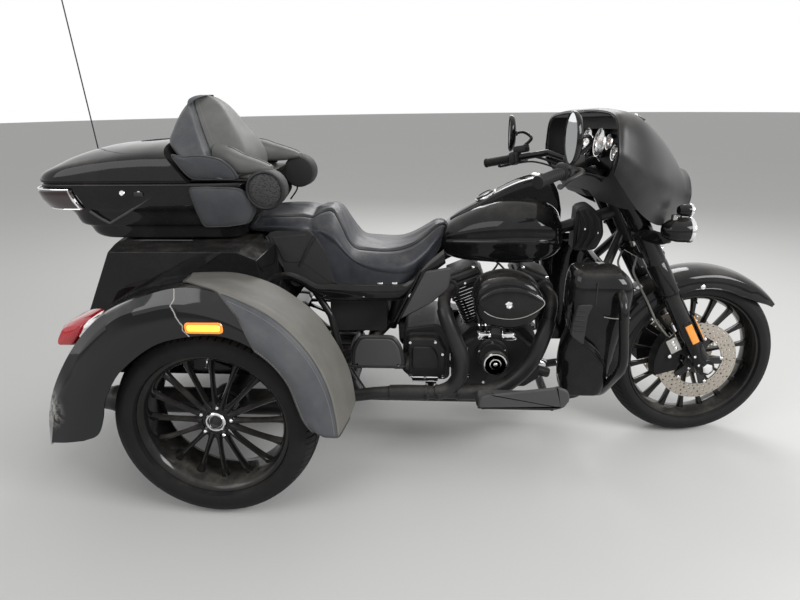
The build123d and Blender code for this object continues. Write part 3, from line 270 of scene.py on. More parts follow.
gloss_black = lacquer("gloss_black", (0.0045, 0.0045, 0.005))
dark_paint = lacquer("dark_paint", (0.0040, 0.0043, 0.0055))
wheel_black = lacquer("rim_black", (0.0045, 0.0045, 0.0048), 0.55, 0.12)
satin_black = engine_paint("satin_black", (0.016, 0.016, 0.017), 0.34, 500.0, 0.00006)
engine_black = engine_paint("black_engine", (0.014, 0.014, 0.015), 0.42)
frame_black = engine_paint("black_frame", (0.010, 0.010, 0.011), 0.30, 300.0, 0.00004, 0.6)
chrome = bare_metal("chrome", (0.80, 0.80, 0.80), 0.04, (30.0, 30.0, 200.0), stained=0.12)
dull_steel = bare_metal("dull_steel", (0.46, 0.45, 0.43), 0.24)
disc_steel = bare_metal("disc_steel", (0.43, 0.39, 0.34), 0.26, (10.0, 10.0, 10.0), (0.30, 0.19, 0.11), 0.7)
print("metal finishes", [m.name for m in bpy.data.materials])

# %% Rubber, vinyl, leather and plastic
def rubber(name, base, roughness, amount=0.8):
    finish = Finish(name, specular_ior_level=0.15)
    with_dust(finish, base, amount, roughness, 0.9, (0.22, 0.20, 0.18))
    finish.bump(finish.noise(700.0, 2.0), 0.00008)
    return finish.material


def hide(name, base, worn, roughness, pebble=520.0, depth=0.00022, amount=0.45):
    """Grained leather or vinyl: rounded cells of two sizes for the pebbles, paler where it is rubbed."""
    finish = Finish(name, specular_ior_level=0.35)
    pebbles = finish.cells(pebble) * 0.7 + finish.cells(pebble * 0.45) * 0.5
    rubbed = finish.step(finish.noise(5.0, 5.0, 0.6), 0.42, 0.72)
    patches = finish.step(finish.noise(16.0, 6.0, 0.7), 0.35, 0.8)
    veil = (finish.facing_up(0.1, 1.0) * 0.6 + 0.3) * patches * amount
    tone = finish.mix(rubbed, base, worn)
    finish.feed(base_color=finish.mix(veil, tone, (0.26, 0.25, 0.23)),
                roughness=rubbed * 0.10 + roughness + veil * 0.2)
    finish.bump(pebbles + finish.noise(40.0, 3.0) * 0.8, depth)
    return finish.material


def moulded(name, base, roughness, grain=1100.0, depth=0.00010, amount=0.5):
    finish = Finish(name, specular_ior_level=0.25)
    with_dust(finish, base, amount, roughness, 0.85, (0.24, 0.23, 0.21))
    finish.bump(finish.cells(grain), depth)
    return finish.material


def clear_plastic(name, base, roughness=0.08, glow=0.0):
    """A lens: coloured gloss with the fine prisms behind it drawn as raised lines."""
    finish = Finish(name, coat_weight=1.0, coat_roughness=0.02, roughness=roughness, emission_strength=glow)
    prisms = finish.node("ShaderNodeTexWave", {"bands_direction": "X"}, {
        "Vector": finish.place, "Scale": 55.0, "Distortion": 0.2})
    shaded = finish.mix(prisms * 0.35, base, tuple(c * 0.35 for c in base))
    finish.feed(base_color=shaded, emission_color=shaded)
    finish.bump(prisms, 0.0006, 0.5)
    return finish.material


tyre_rubber = rubber("tyre", (0.010, 0.010, 0.011), 0.62, 0.3)
soft_rubber = rubber("soft_rubber", (0.020, 0.020, 0.020), 0.55, 0.5)
seat_leather = hide("seat_leather", (0.022, 0.024, 0.030), (0.042, 0.045, 0.055), 0.36, amount=0.25)
grey_leather = hide("grey_leather", (0.060, 0.063, 0.071), (0.080, 0.083, 0.090), 0.46, amount=0.3)
# A paler copy of the backrest leather with painted sunlight, for the backrest's front face and its armrests.
painted_sunlit_leather = hide("painted_sunlit_leather", (0.112, 0.112, 0.110), (0.142, 0.141, 0.136), 0.48, amount=0.3)
cover_vinyl = hide("cover_vinyl", (0.062, 0.066, 0.074), (0.082, 0.086, 0.093), 0.46, 640.0, 0.00018, 0.3)
# A paler copy of the cover vinyl with painted sunlight, for the upper panel of the fender covers; the side
# keeps the darker cover vinyl.
painted_sunlit_vinyl = hide("painted_sunlit_vinyl", (0.142, 0.136, 0.122), (0.172, 0.164, 0.146), 0.52, 640.0, 0.00018, 0.35)
matte_black = moulded("matte_black", (0.026, 0.026, 0.027), 0.60)
grey_plastic = moulded("grey_plastic", (0.060, 0.060, 0.062), 0.55)
red_lens = clear_plastic("lamp_red", (0.50, 0.010, 0.020), 0.06, 0.05)
amber_lens = clear_plastic("amber_lens", (1.0, 0.36, 0.03), 0.1, 3.2)
amber_edge = clear_plastic("amber_edge", (0.95, 0.26, 0.01), 0.1, 0.8)
# Amber with a painted glow: the fork's reflectors and the dial needles shine from within though they are no
# lamps; the front signal lenses share it.
amber_painted_glow = clear_plastic("amber_painted_glow", (0.85, 0.30, 0.02), 0.1, 0.25)
dark_lens = clear_plastic("dark_lens", (0.026, 0.010, 0.010), 0.08)
clear_lens = clear_plastic("clear_lens", (0.62, 0.64, 0.66), 0.05, 0.05)
mirror_face = Finish("mirror_glass", metallic=1.0, base_color=(0.86, 0.88, 0.90), roughness=0.02).material
hose_braid = rubber("hose_rubber", (0.23, 0.23, 0.21), 0.5, 0.3)
print("all finishes", len(bpy.data.materials))

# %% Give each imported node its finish
BY_SLOT = {
    "black_frame": frame_black, "black_engine": engine_black, "gloss_black": gloss_black,
    "satin_black": satin_black, "dark_paint": dark_paint, "seat_leather": seat_leather,
    "grey_leather": grey_leather, "cover_vinyl": cover_vinyl, "matte_black": matte_black,
    "lamp_red": red_lens, "hose_rubber": hose_braid, "mirror_glass": mirror_face, "tyre": tyre_rubber,
    "rim_black": wheel_black, "disc_steel": disc_steel}
for row in frame["record"]["subparts"]:
    finish_here = BY_SLOT[row["material_slot"]]
    mesh = frame["nodes"][row["node"]].data
    mesh.materials.clear()
    mesh.materials.append(finish_here)
print("finished", len(frame["nodes"]), "nodes")

# %% [markdown]
# ## Surfaces as arrays
# Every new piece is a set of surfaces, each worked out at once as an array of points. The numbers are in
# millimetres, as on a drawing, and `build` turns them into metres. What turns with the handlebar is drawn
# straight ahead first and then turned to the few degrees at which the trike stands.

# %% Curves
REST_STEER = radians(6)
FORK_LEAN, HEAD_LEAN = radians(29), radians(26)
LEAN_SIN, LEAN_COS = sin(FORK_LEAN), cos(FORK_LEAN)
HINGES = {joint["name"]: joint for joint in frame["joints"]}
STEER_AT = np.array(HINGES["steering"]["pos_m"]) * 1000
STEER_AXIS = np.array(HINGES["steering"]["axis"])


def turned(points):
    """Points turned about the steering axis by the rest angle, by Rodrigues' formula."""
    arm = points - STEER_AT
    along = (arm @ STEER_AXIS)[..., None] * STEER_AXIS
    across = np.cross(STEER_AXIS, arm)
    return STEER_AT + arm * cos(REST_STEER) + across * sin(REST_STEER) + along * (1 - cos(REST_STEER))


def whole_turn(count):
    """Angles once round a circle, in even steps."""
    return np.linspace(0, 2 * pi, count, endpoint=False)


def other_side(points):
    return [(x, -y, z) for x, y, z in points]


def unit(vectors):
    return vectors / np.maximum(np.linalg.norm(vectors, axis=-1, keepdims=True), 1e-12)


def cubic(a, b, c, d, t):
    """Catmull-Rom between b and c, t of the way along, with a before them and d after."""
    square = 2 * a - 5 * b + 4 * c - d
    cube = 3 * b - a - 3 * c + d
    return 0.5 * (2 * b + (c - a) * t + square * t ** 2 + cube * t ** 3)


def smooth(points, count, closed=False):
    """A Catmull-Rom curve through points, sampled at even steps of its length."""
    p = np.asarray(points, float)
    if closed:
        p = np.vstack([p[-1:], p, p[:2]])
    else:
        p = np.vstack([2 * p[0] - p[1], p, 2 * p[-1] - p[-2]])
    t = np.linspace(0, 1, 16, endpoint=False)[:, None, None]
    a, b, c, d = p[:-3], p[1:-2], p[2:-1], p[3:]
    curve = cubic(a, b, c, d, t)
    curve = np.vstack([curve.transpose(1, 0, 2).reshape(-1, p.shape[1]), p[-2:-1]])
    return even(curve, count, closed)


def even(curve, count, closed=False):
    """A polyline sampled again at even steps of its length."""
    run = np.concatenate([[0], np.cumsum(np.linalg.norm(np.diff(curve, axis=0), axis=1))])
    at = np.linspace(0, run[-1], count, endpoint=not closed)
    return np.stack([np.interp(at, run, column) for column in curve.T], axis=1)


def spline(p, steps, closed=False):
    """Catmull-Rom through the rows of an array, with a number of steps in each span."""
    p = np.asarray(p, float)
    if closed:
        q = np.concatenate([p[-1:], p, p[:2]])
    else:
        q = np.concatenate([2 * p[:1] - p[1:2], p, 2 * p[-1:] - p[-2:-1]])
    a, b, c, d = q[:-3, None], q[1:-2, None], q[2:-1, None], q[3:, None]
    t = (np.arange(steps) / steps).reshape(1, steps, *[1] * (p.ndim - 1))
    curve = cubic(a, b, c, d, t)
    curve = curve.reshape(-1, *p.shape[1:])
    return curve if closed else np.concatenate([curve, p[-1:]])


def net(p, along, across, round_u=False, round_v=False):
    """A smooth surface through a net of points: the spline along one way, then along the other."""
    return spline(spline(p, along, round_u).swapaxes(0, 1), across, round_v).swapaxes(0, 1)


def rounded(points, radius, steps=5, closed=True):
    """Corners rounded by a parabola that starts one radius before each corner and ends one after it."""
    p = np.asarray(points, float)
    before, after = np.roll(p, 1, axis=0) - p, np.roll(p, -1, axis=0) - p
    reach_b = np.minimum(radius, 0.46 * np.linalg.norm(before, axis=1))[:, None]
    reach_a = np.minimum(radius, 0.46 * np.linalg.norm(after, axis=1))[:, None]
    t = np.linspace(0, 1, steps)[None, :, None]
    start, end = (p + unit(before) * reach_b)[:, None], (p + unit(after) * reach_a)[:, None]
    arcs = start * (1 - t) ** 2 + 2 * p[:, None] * t * (1 - t) + end * t ** 2
    if closed:
        return arcs.reshape(-1, p.shape[1])
    return np.vstack([p[:1], arcs[1:-1].reshape(-1, p.shape[1]), p[-1:]])


def corner_ring(points, radius, steps, count):
    """A closed line of straight runs and round corners, in even steps."""
    line = rounded(points, radius, steps)
    return even(np.vstack([line, line[:1]]), count + 1)[:-1]


def closed_line(points, radius, count):
    """A closed line with rounded corners, even in its own length."""
    return smooth(rounded(points, radius, 4), count, True)


def normals(p, round_u=False, round_v=False):
    """Unit normals of a grid of points: the cross product of its differences along both ways."""
    def slope(axis, loop):
        if loop:
            return np.roll(p, -1, axis) - np.roll(p, 1, axis)
        return np.gradient(p, axis=axis)
    return unit(np.cross(slope(0, round_u), slope(1, round_v)))


print("curve helpers ready; the steering axis passes", np.round(STEER_AT))

# %% Surfaces
class Shape:
    """The surfaces of one piece, gathered as points and faces, each with the number of its finish."""

    def __init__(self):
        self.points, self.faces, self.marks, self.count = [], [], [], 0

    def add(self, points, faces, mark=0):
        self.points.append(points.reshape(-1, 3))
        self.faces += (np.asarray(faces) + self.count).tolist()
        self.marks += [mark] * len(faces)
        self.count += len(self.points[-1])

    def grid(self, p, mark=0, round_u=False, round_v=False):
        """Four-sided faces between neighbours of a grid of points, closed round where a way comes back."""
        nu, nv = p.shape[:2]
        index = np.arange(nu * nv).reshape(nu, nv)
        if round_u:
            index = np.vstack([index, index[:1]])
        if round_v:
            index = np.hstack([index, index[:, :1]])
        quads = np.stack([index[:-1, :-1], index[1:, :-1], index[1:, 1:], index[:-1, 1:]], axis=-1)
        self.add(p, quads.reshape(-1, 4), mark)

    def cap(self, ring, mark=0):
        """A flat face over a closed ring of points."""
        self.add(ring, [list(range(len(ring)))], mark)

    def solid(self, p, mark=0):
        """Rings one after the other, joined, with both ends closed."""
        self.grid(p, mark, False, True)
        self.cap(p[0], mark)
        self.cap(p[-1], mark)

    def shell(self, p, thick, mark=0, inner_mark=None, round_u=False, round_v=False):
        """A sheet with its back a thickness behind it along the normals, and its open edges closed."""
        back = p - normals(p, round_u, round_v) * thick
        self.grid(p, mark, round_u, round_v)
        self.grid(back, mark if inner_mark is None else inner_mark, round_u, round_v)
        if not round_u:
            for row in (0, -1):
                self.grid(np.stack([p[row], back[row]]), mark, False, round_v)
        if not round_v:
            for col in (0, -1):
                self.grid(np.stack([p[:, col], back[:, col]]), mark, False, round_u)

    def tube(self, path, radius, sides=10, mark=0, closed=False):
        """Rings of one radius, or one per point, square to a path, measured from one direction."""
        path = np.asarray(path, float)
        if closed:
            tangent = unit(np.roll(path, -1, 0) - np.roll(path, 1, 0))
        else:
            tangent = unit(np.gradient(path, axis=0))
        flat = np.linalg.eigh(tangent.T @ tangent)[1][:, 0]
        out = unit(flat - (tangent @ flat)[:, None] * tangent)
        up = np.cross(tangent, out)
        turn = whole_turn(sides)
        radius = np.broadcast_to(np.asarray(radius, float), len(path))[:, None, None]
        spin = out[:, None] * np.cos(turn)[:, None] + up[:, None] * np.sin(turn)[:, None]
        rings = path[:, None] + radius * spin
        self.grid(rings, mark, closed, True)
        if not closed:
            self.cap(rings[0], mark)
            self.cap(rings[-1], mark)

    def revolve(self, profile, origin, axis, sides=48, mark=0, loop=False):
        """A profile of radius and distance along an axis, carried round that axis."""
        profile = np.asarray(profile, float)
        axis = unit(np.asarray(axis, float))
        side = unit(np.cross(axis, (0.31, 0.17, 0.93)))
        other = np.cross(axis, side)
        turn = whole_turn(sides)
        spin = np.cos(turn)[:, None] * side + np.sin(turn)[:, None] * other
        p = np.asarray(origin, float) + profile[:, None, 1:2] * axis + profile[:, None, 0:1] * spin[None]
        self.grid(p, mark, loop, True)
        if not loop:
            for end in (0, -1):
                if profile[end, 0] > 1e-6:
                    self.cap(p[end], mark)

    def block(self, centre, size, radius, axes=None, mark=0, steps=3):
        """A box with rounded edges: one eighth of a ball pushed out to each corner."""
        quarter = np.linspace(0, pi / 2, steps + 1)
        spin = (quarter[None] + np.arange(4)[:, None] * pi / 2).ravel()
        sx = np.repeat([1, -1, -1, 1], steps + 1)
        sy = np.repeat([1, 1, -1, -1], steps + 1)
        rise = np.concatenate([quarter - pi / 2, quarter])[:, None]
        sz = np.repeat([-1, 1], steps + 1)[:, None]
        half = np.asarray(size, float) / 2 - radius
        p = np.stack([half[0] * sx + radius * np.cos(rise) * np.cos(spin),
                      half[1] * sy + radius * np.cos(rise) * np.sin(spin),
                      half[2] * sz + radius * np.sin(rise) + 0 * spin], axis=-1)
        if axes is not None:
            p = p @ np.asarray(axes, float)
        p = p + np.asarray(centre, float)
        self.grid(p, mark, False, True)
        self.cap(p[0, ::steps + 1], mark)
        self.cap(p[-1, ::steps + 1], mark)

    def plate(self, line, low, high, bevel=1.0, mark=0, across=1):
        """A flat outline carried along one axis (Y unless told), its two rims bevelled."""
        line = np.asarray(line, float)
        ahead = unit(np.roll(line, -1, 0) - line)
        mean = unit(ahead + np.roll(ahead, 1, 0))
        inward = np.stack([-mean[:, 1], mean[:, 0]], axis=1)
        area = np.sum(line[:, 0] * np.roll(line[:, 1], -1) - np.roll(line[:, 0], -1) * line[:, 1])
        small = line + inward * np.sign(area) * bevel
        rings = [(small, low), (line, low + bevel), (line, high - bevel), (small, high)]
        p = np.stack([np.insert(flat, across, level, axis=1) for flat, level in rings])
        self.solid(p, mark)

    def repeat(self, matrices):
        """The piece so far, once per 4x4 matrix."""
        p = np.vstack(self.points)
        faces, marks, count = self.faces, self.marks, len(p)
        p1 = np.hstack([p, np.ones((count, 1))])
        self.points = [np.einsum("kij,nj->kni", np.asarray(matrices)[:, :3], p1).reshape(-1, 3)]
        self.faces = [[i + count * k for i in face] for k in range(len(matrices)) for face in faces]
        self.marks = marks * len(matrices)
        self.count = count * len(matrices)
        return self

    def join(self, other):
        for points in other.points:
            self.points.append(points)
        self.faces += [[i + self.count for i in face] for face in other.faces]
        self.marks += other.marks
        self.count += other.count
        return self


print("surface helpers ready")

# %% Matrices and meshes
MIRROR_Y = np.diag([1.0, -1.0, 1.0, 1.0])


def spun(angles, origin, axis=(0, 1, 0)):
    """One matrix per angle, each a turn about an axis through a point."""
    move = Matrix.Translation(origin)
    return [np.array(move @ Matrix.Rotation(a, 4, Vector(axis)) @ move.inverted()) for a in angles]


def both_sides(shape):
    """The right-hand piece and its mirror image."""
    return shape.repeat([np.eye(4), MIRROR_Y])


def finish_mesh(mesh, crease):
    """Merges doubled points, turns surfaces outwards and shades smooth up to a crease angle."""
    work = bmesh.new()
    work.from_mesh(mesh)
    bmesh.ops.remove_doubles(work, verts=work.verts, dist=2e-6)
    bmesh.ops.dissolve_degenerate(work, edges=work.edges, dist=1e-6)
    bmesh.ops.recalc_face_normals(work, faces=work.faces)
    work.to_mesh(mesh)
    work.free()
    mesh.shade_smooth()
    mesh.set_sharp_from_angle(angle=radians(crease))


def build(name, shape, finishes, body, replaces=(), steered=False, crease=35):
    """Makes a piece from a shape: metres, merged, its faces outwards, riding on its body."""
    points = np.vstack(shape.points)
    if steered:
        points = turned(points)
    mesh = bpy.data.meshes.new(name)
    mesh.from_pydata(points / 1000, [], shape.faces)
    for finish in finishes if isinstance(finishes, (list, tuple)) else [finishes]:
        mesh.materials.append(finish)
    mesh.polygons.foreach_set("material_index", shape.marks)
    finish_mesh(mesh, crease)
    piece = bpy.data.objects.new(name, mesh)
    bpy.context.scene.collection.objects.link(piece)
    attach(piece, body)
    if replaces:
        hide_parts(*replaces)
    print(name, len(mesh.polygons), "faces")
    return piece


def softened(node, width, crease=30, where=None):
    """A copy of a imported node, merged into flats; its sharp edges, or those where picks, bevelled."""
    mesh = frame["nodes"][node].data.copy()
    mesh.name = node + "_soft"
    work = bmesh.new()
    work.from_mesh(mesh)
    bmesh.ops.remove_doubles(work, verts=work.verts, dist=1e-5)
    bmesh.ops.dissolve_limit(work, angle_limit=radians(1.5), verts=work.verts, edges=work.edges)
    if where:
        ends = np.array([[v.co for v in edge.verts] for edge in work.edges]) * 1000
        angle = np.array([edge.calc_face_angle(0) for edge in work.edges])
        chosen = (where(ends.mean(axis=1)) & (angle > radians(crease))).astype(float).tolist()
        weight = work.edges.layers.float.new("bevel_weight_edge")
        for edge, value in zip(work.edges, chosen):
            edge[weight] = value
    work.to_mesh(mesh)
    work.free()
    piece = bpy.data.objects.new(node + "_soft", mesh)
    bpy.context.scene.collection.objects.link(piece)
    bevel = piece.modifiers.new("edges", "BEVEL")
    bevel.width, bevel.segments, bevel.limit_method = width / 1000, 3, "WEIGHT" if where else "ANGLE"
    bevel.angle_limit, bevel.use_clamp_overlap, bevel.miter_outer = radians(crease), True, "MITER_ARC"
    mesh.shade_smooth()
    mesh.set_sharp_from_angle(angle=radians(crease + 8))
    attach(piece, frame["nodes"][node]["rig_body"])
    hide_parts(node)
    return piece


print("building helpers ready")

# %% [markdown]
# ## Tyres
# A tyre is one profile carried round the axle. Its tread is not bump: the profile has steps for the grooves
# that run round, and the columns of the grid come in fives, one of which is sunk, for the slots that run
# across.

# %% Tyres
REAR_AXLE = (-630, 0, 325)
FRONT_AXLE = (1040, 0, 319)
REAR_WHEEL_Y = 537.5


def arc(a, b, c, count):
    """Points on the circle through three points: its centre is where the bisectors meet."""
    a, b, c = (complex(*p) for p in (a, b, c))
    w = (c - a) / (b - a)
    centre = (b - a) * (w - abs(w) ** 2) / (2j * w.imag) + a
    first, turn = a - centre, np.angle((c - centre) / (a - centre))
    if np.angle((b - centre) / (a - centre)) * turn < 0:
        turn -= np.sign(turn) * 2 * pi
    z = centre + first * np.exp(1j * turn * np.linspace(0, 1, count))
    return np.stack([z.real, z.imag], axis=1)


def tyre_shape(radius, width, bead_r, lip_r, rim_half, grooves, pitches, slant):
    """The tyre as a grid round its axle; grooves lists the middle and half width of each one."""
    half, shoulder = width / 2, 0.86 * width / 2
    side = arc((bead_r, rim_half), ((bead_r + radius) / 2, half), (radius - 22, shoulder), 14)
    side = side[side[:, 0] > lip_r]
    side[4:6, 1] += 0.9
    side[8, 1] += 0.8
    steps = [(m + e * w, d) for m, w in grooves for e, d in ((-1, 0), (-0.7, 6.5), (0.7, 6.5), (1, 0))]
    plain = [(y, 0) for y in np.linspace(-shoulder, shoulder, 15)
             if all(abs(y - m) > w + 1.5 for m, w in grooves)]
    y, depth = np.array(sorted(steps + plain)).T
    crown = radius - 22 * (y / shoulder) ** 2
    foot = [(bead_r + 1, rim_half - 6), (bead_r + 1, rim_half - 11)]
    flange = [(lip_r - 1, rim_half + 2)]
    right = np.vstack([foot[::-1], flange, side[:-1]])
    r = np.concatenate([right[:, 0], crown[::-1], right[::-1, 0]])
    offset = np.concatenate([right[:, 1], y[::-1], -right[::-1, 1]])
    sunk = np.concatenate([np.zeros(len(right)), depth[::-1], np.zeros(len(right))])
    slotted = (np.abs(offset) > 0.50 * shoulder) & (r > radius - 24)
    middle = (np.abs(offset) < 0.30 * shoulder) & (sunk == 0) & (r > radius - 24)
    column = np.arange(pitches)[:, None] + np.array([0, 0.03, 0.17, 0.20, 0.60])
    is_slot = np.tile([0, 1, 1, 0, 0], pitches)[:, None]
    angle = column.ravel()[:, None] * 2 * pi / pitches + slant * np.abs(offset) / half * 2 * pi / pitches
    slot = is_slot * np.where(slotted, 5.0, np.where(middle, 2.5, 0.0))
    r = r - np.maximum(sunk, slot)
    return np.stack([r * np.cos(angle), offset + 0 * angle, r * np.sin(angle)], axis=-1)


REAR_GROOVES = [(-46, 5), (-16, 5), (16, 5), (46, 5)]
FRONT_GROOVES = [(-17, 3.5), (17, 3.5)]
for side, word in ((-1, "right"), (1, "left")):
    carcass = Shape()
    carcass.grid(tyre_shape(325, 215, 228.3, 243.3, 77.4, REAR_GROOVES, 84, 0.9)
                 + (REAR_AXLE[0], side * REAR_WHEEL_Y, REAR_AXLE[2]), 0, True, True)
    build(f"tyre_rear_{word}", carcass, tyre_rubber, f"rear_wheel_{word}", [f"rear_tyre_{word}"])
carcass = Shape()
carcass.grid(tyre_shape(319, 130, 241.3, 252.3, 46.8, FRONT_GROOVES, 66, 2.4) + FRONT_AXLE, 0, True, True)
build("tyre_front", carcass, tyre_rubber, "front_wheel", ["front_tyre"], True)

# %% [markdown]
# ## Cast wheels
# The rim is a closed ring with two rolled lips, deep behind the outer one. The spokes are thin ribs that
# widen where they meet the rim, all made in one array: one spoke times the angles. A bright ring and nuts
# sit on the hub.

# %% Wheels
def rim_ring(shape, barrel_r, lip_r, half, mark=0):
    """The barrel as a closed profile: seats and lips outside, a deep well inside."""
    outside = [(barrel_r, -half + 10), (barrel_r - 6, -half + 34), (barrel_r - 6, half - 34),
               (barrel_r, half - 10)]
    lip = [(lip_r - 2, half - 2), (lip_r, half), (lip_r, half + 4), (lip_r - 3, half + 6),
           (lip_r - 8, half + 5)]
    well = [(barrel_r - 4, half - 4), (barrel_r - 12, half - 22), (barrel_r - 15, half - 50),
            (barrel_r - 15, 0)]
    inside = well + [(r, -y) for r, y in well[-2::-1]]
    profile = outside + lip + inside + [(r, -y) for r, y in lip[::-1]]
    shape.revolve(profile, (0, 0, 0), (0, 1, 0), 96, mark, True)


def spokes(shape, count, hub_r, rim_r, width, depth, at_hub, at_rim, mark=0):
    """Ribs with a rounded eight-sided section; they widen with the seventh power towards the ends."""
    u = np.linspace(0, 1, 14)[:, None]
    section = np.array([(-1, -0.3), (-0.8, 0.5), (-0.35, 1), (0.35, 1), (0.8, 0.5), (1, -0.3), (0.7, -1),
                        (-0.7, -1)])
    wide = width / 2 * (1 + 1.1 * u ** 7 + 0.9 * (1 - u) ** 7)
    r = hub_r + (rim_r - hub_r) * u
    middle = at_hub + (at_rim - at_hub) * u ** 2
    flat = np.stack([section[:, 0] * wide, middle + section[:, 1] * depth / 2,
                     r + 0 * section[:, 0] * wide], axis=-1)
    rib = Shape()
    rib.solid(flat, mark)
    shape.join(rib.repeat(spun(np.arange(count) * 2 * pi / count, (0, 0, 0))))


def nuts(shape, count, ring_r, y, r, tall, mark, sides=6):
    """Domed nuts on a circle."""
    nut = Shape()
    nut.revolve([(r, y), (r, y + tall * 0.6), (r * 0.8, y + tall * 0.85), (r * 0.4, y + tall),
                 (0, y + tall)],
                (0, 0, ring_r), (0, 1, 0), sides, mark)
    shape.join(nut.repeat(spun(np.arange(count) * 2 * pi / count + 0.2, (0, 0, 0))))


def placed(shape, place, flip=False):
    move = np.array(Matrix.Translation(place))
    return shape.repeat([move @ MIRROR_Y if flip else move])


for side, word in ((-1, "right"), (1, "left")):
    wheel = Shape()
    rim_ring(wheel, 228, 243, 77.4)
    spokes(wheel, 16, 46, 216, 15, 22, 42, 30)
    wheel.revolve([(30, -50), (46, -44), (46, 20), (62, 30), (66, 38), (64, 46), (44, 50), (36, 52),
                   (34, 50), (0, 50)],
                  (0, 0, 0), (0, 1, 0), 64)
    wheel.revolve([(33, 49), (33, 57), (30, 60), (26, 60), (24, 56), (22, 53), (0, 53)], (0, 0, 0),
                  (0, 1, 0), 48, 1)
    wheel.revolve([(21, 52), (20, 56), (14, 58), (12, 56), (8, 58.5), (0, 59)], (0, 0, 0), (0, 1, 0), 48, 2)
    nuts(wheel, 5, 51, 45, 8.5, 15, 1)
    wheel.tube(smooth([(0, 60, 214), (0, 64, 206), (0, 74, 198)], 6), 3.5, 8, 1)
    placed(wheel, (REAR_AXLE[0], side * REAR_WHEEL_Y, REAR_AXLE[2]), side < 0)
    build(f"wheel_rear_{word}", wheel, [wheel_black, chrome, satin_black], f"rear_wheel_{word}",
          [f"rear_rim_{word}"])

wheel = Shape()
rim_ring(wheel, 241, 252, 46.8)
spokes(wheel, 18, 36, 229, 13, 26, 0, 0)
wheel.revolve([(20, -75), (46, -74), (48, -66), (38, -54), (34, -20), (34, 20), (38, 54), (48, 66),
               (46, 74), (20, 75)],
              (0, 0, 0), (0, 1, 0), 64)
wheel.tube(smooth([(0, -8, 226), (0, -20, 218), (0, -30, 212)], 6), 3, 8, 1)
build("wheel_front", placed(wheel, FRONT_AXLE), [wheel_black, chrome], "front_wheel",
      ["front_rim"], True)

# %% [markdown]
# ## Brake discs
# A drilled disc is laid out in cells round the axle: each cell is a ring of eight faces about its hole,
# front and back, with the hole's wall between. Rows of cells share their borders, so the disc closes on
# itself.

# %% Brakes
DISC_Y, DISC_T, DISC_IN, DISC_OUT = 78, 5, 94, 150


def drilled_ring(shape, y0, y1, rows, around, hole, mark=0):
    """rows lists the borders of the cells by radius; the holes swing left and right by row."""
    way = np.array([(-1, -1), (0, -1), (1, -1), (1, 0), (1, 1), (0, 1), (-1, 1), (-1, 0)], float)
    low, high = rows[:-1, None, None], rows[1:, None, None]
    mid, half = (low + high) / 2, (high - low) / 2
    step = pi / around
    swing = 0.32 * np.where(np.arange(len(rows) - 1) % 2, 1, -1)[:, None, None]
    base = np.arange(around)[None, :, None] * 2 * step
    edge_r = mid + half * way[:, 0] + 0 * base
    edge_a = base + step * way[:, 1] + 0 * mid
    ring = unit(way)
    hole_r = mid + hole * ring[:, 0] + 0 * base
    hole_a = base + step * swing + hole * ring[:, 1] / mid
    for y, out in ((y0, 0), (y1, 1)):
        r, a = np.stack([edge_r, hole_r]), np.stack([edge_a, hole_a])
        p = np.stack([r * np.cos(a), np.full(r.shape, float(y)), r * np.sin(a)], axis=-1)
        faces = p.reshape(2, -1, 8, 3)
        count = faces.shape[1]
        index = np.arange(2 * count * 8).reshape(2, count, 8)
        quads = np.stack([index[0], np.roll(index[0], -1, 1), np.roll(index[1], -1, 1), index[1]], axis=-1)
        shape.add(faces, quads.reshape(-1, 4), mark)
    r, a = np.stack([hole_r, hole_r]), np.stack([hole_a, hole_a])
    y = np.array([y0, y1], float)[:, None, None, None] + 0 * r
    wall = np.stack([r * np.cos(a), y, r * np.sin(a)], axis=-1).reshape(2, -1, 8, 3)
    index = np.arange(wall[..., 0].size).reshape(wall.shape[:3])
    quads = np.stack([index[0], index[1], np.roll(index[1], -1, 1), np.roll(index[0], -1, 1)], axis=-1)
    shape.add(wall, quads.reshape(-1, 4), mark)
    for radius in (rows[0], rows[-1]):
        a = np.arange(2 * around) * step
        rim = np.stack([[radius * np.cos(a), 0 * a + y, radius * np.sin(a)] for y in (y0, y1)])
        shape.grid(rim.swapaxes(1, 2), mark, False, True)


discs = Shape()
drilled_ring(discs, DISC_Y - DISC_T / 2, DISC_Y + DISC_T / 2, np.array([DISC_IN, 107, 121, 135, DISC_OUT]),
             36, 3.6)
arms = 5
star = []
for k in range(2 * arms):
    reach, spread = (46, 0.55) if k % 2 else (97, 0.22)
    for s in (-spread, spread):
        star.append((reach * cos(pi * (k + s) / arms), reach * sin(pi * (k + s) / arms)))
discs.plate(rounded(star, 10, 4), DISC_Y + 1, DISC_Y + 7, 1.2, 1)
discs.revolve([(46, 76), (46, 82), (30, 86), (14, 87), (0, 87)], (0, 0, 0), (0, 1, 0), 40, 1)
nuts(discs, arms, 90, DISC_Y + 5, 6, 6, 2, 12)
nuts(discs, arms, 40, DISC_Y + 4, 6.5, 7, 2, 6)
both_sides(discs)
build("discs_front", placed(discs, FRONT_AXLE), [disc_steel, satin_black, chrome],
      "front_wheel", ["front_discs"], True)
softened("brake_calipers", 3)

# %% [markdown]
# ## Rear fenders
# A rear fender is drawn by long rails from its rear foot over the wheel to its front foot: the top, which
# falls towards the trunk, the upper edge, the crease and the arch. A section curve joins the rails at each
# step along them, so the whole form is one grid. The right one has a crack over its side and a scuffed
# tail.

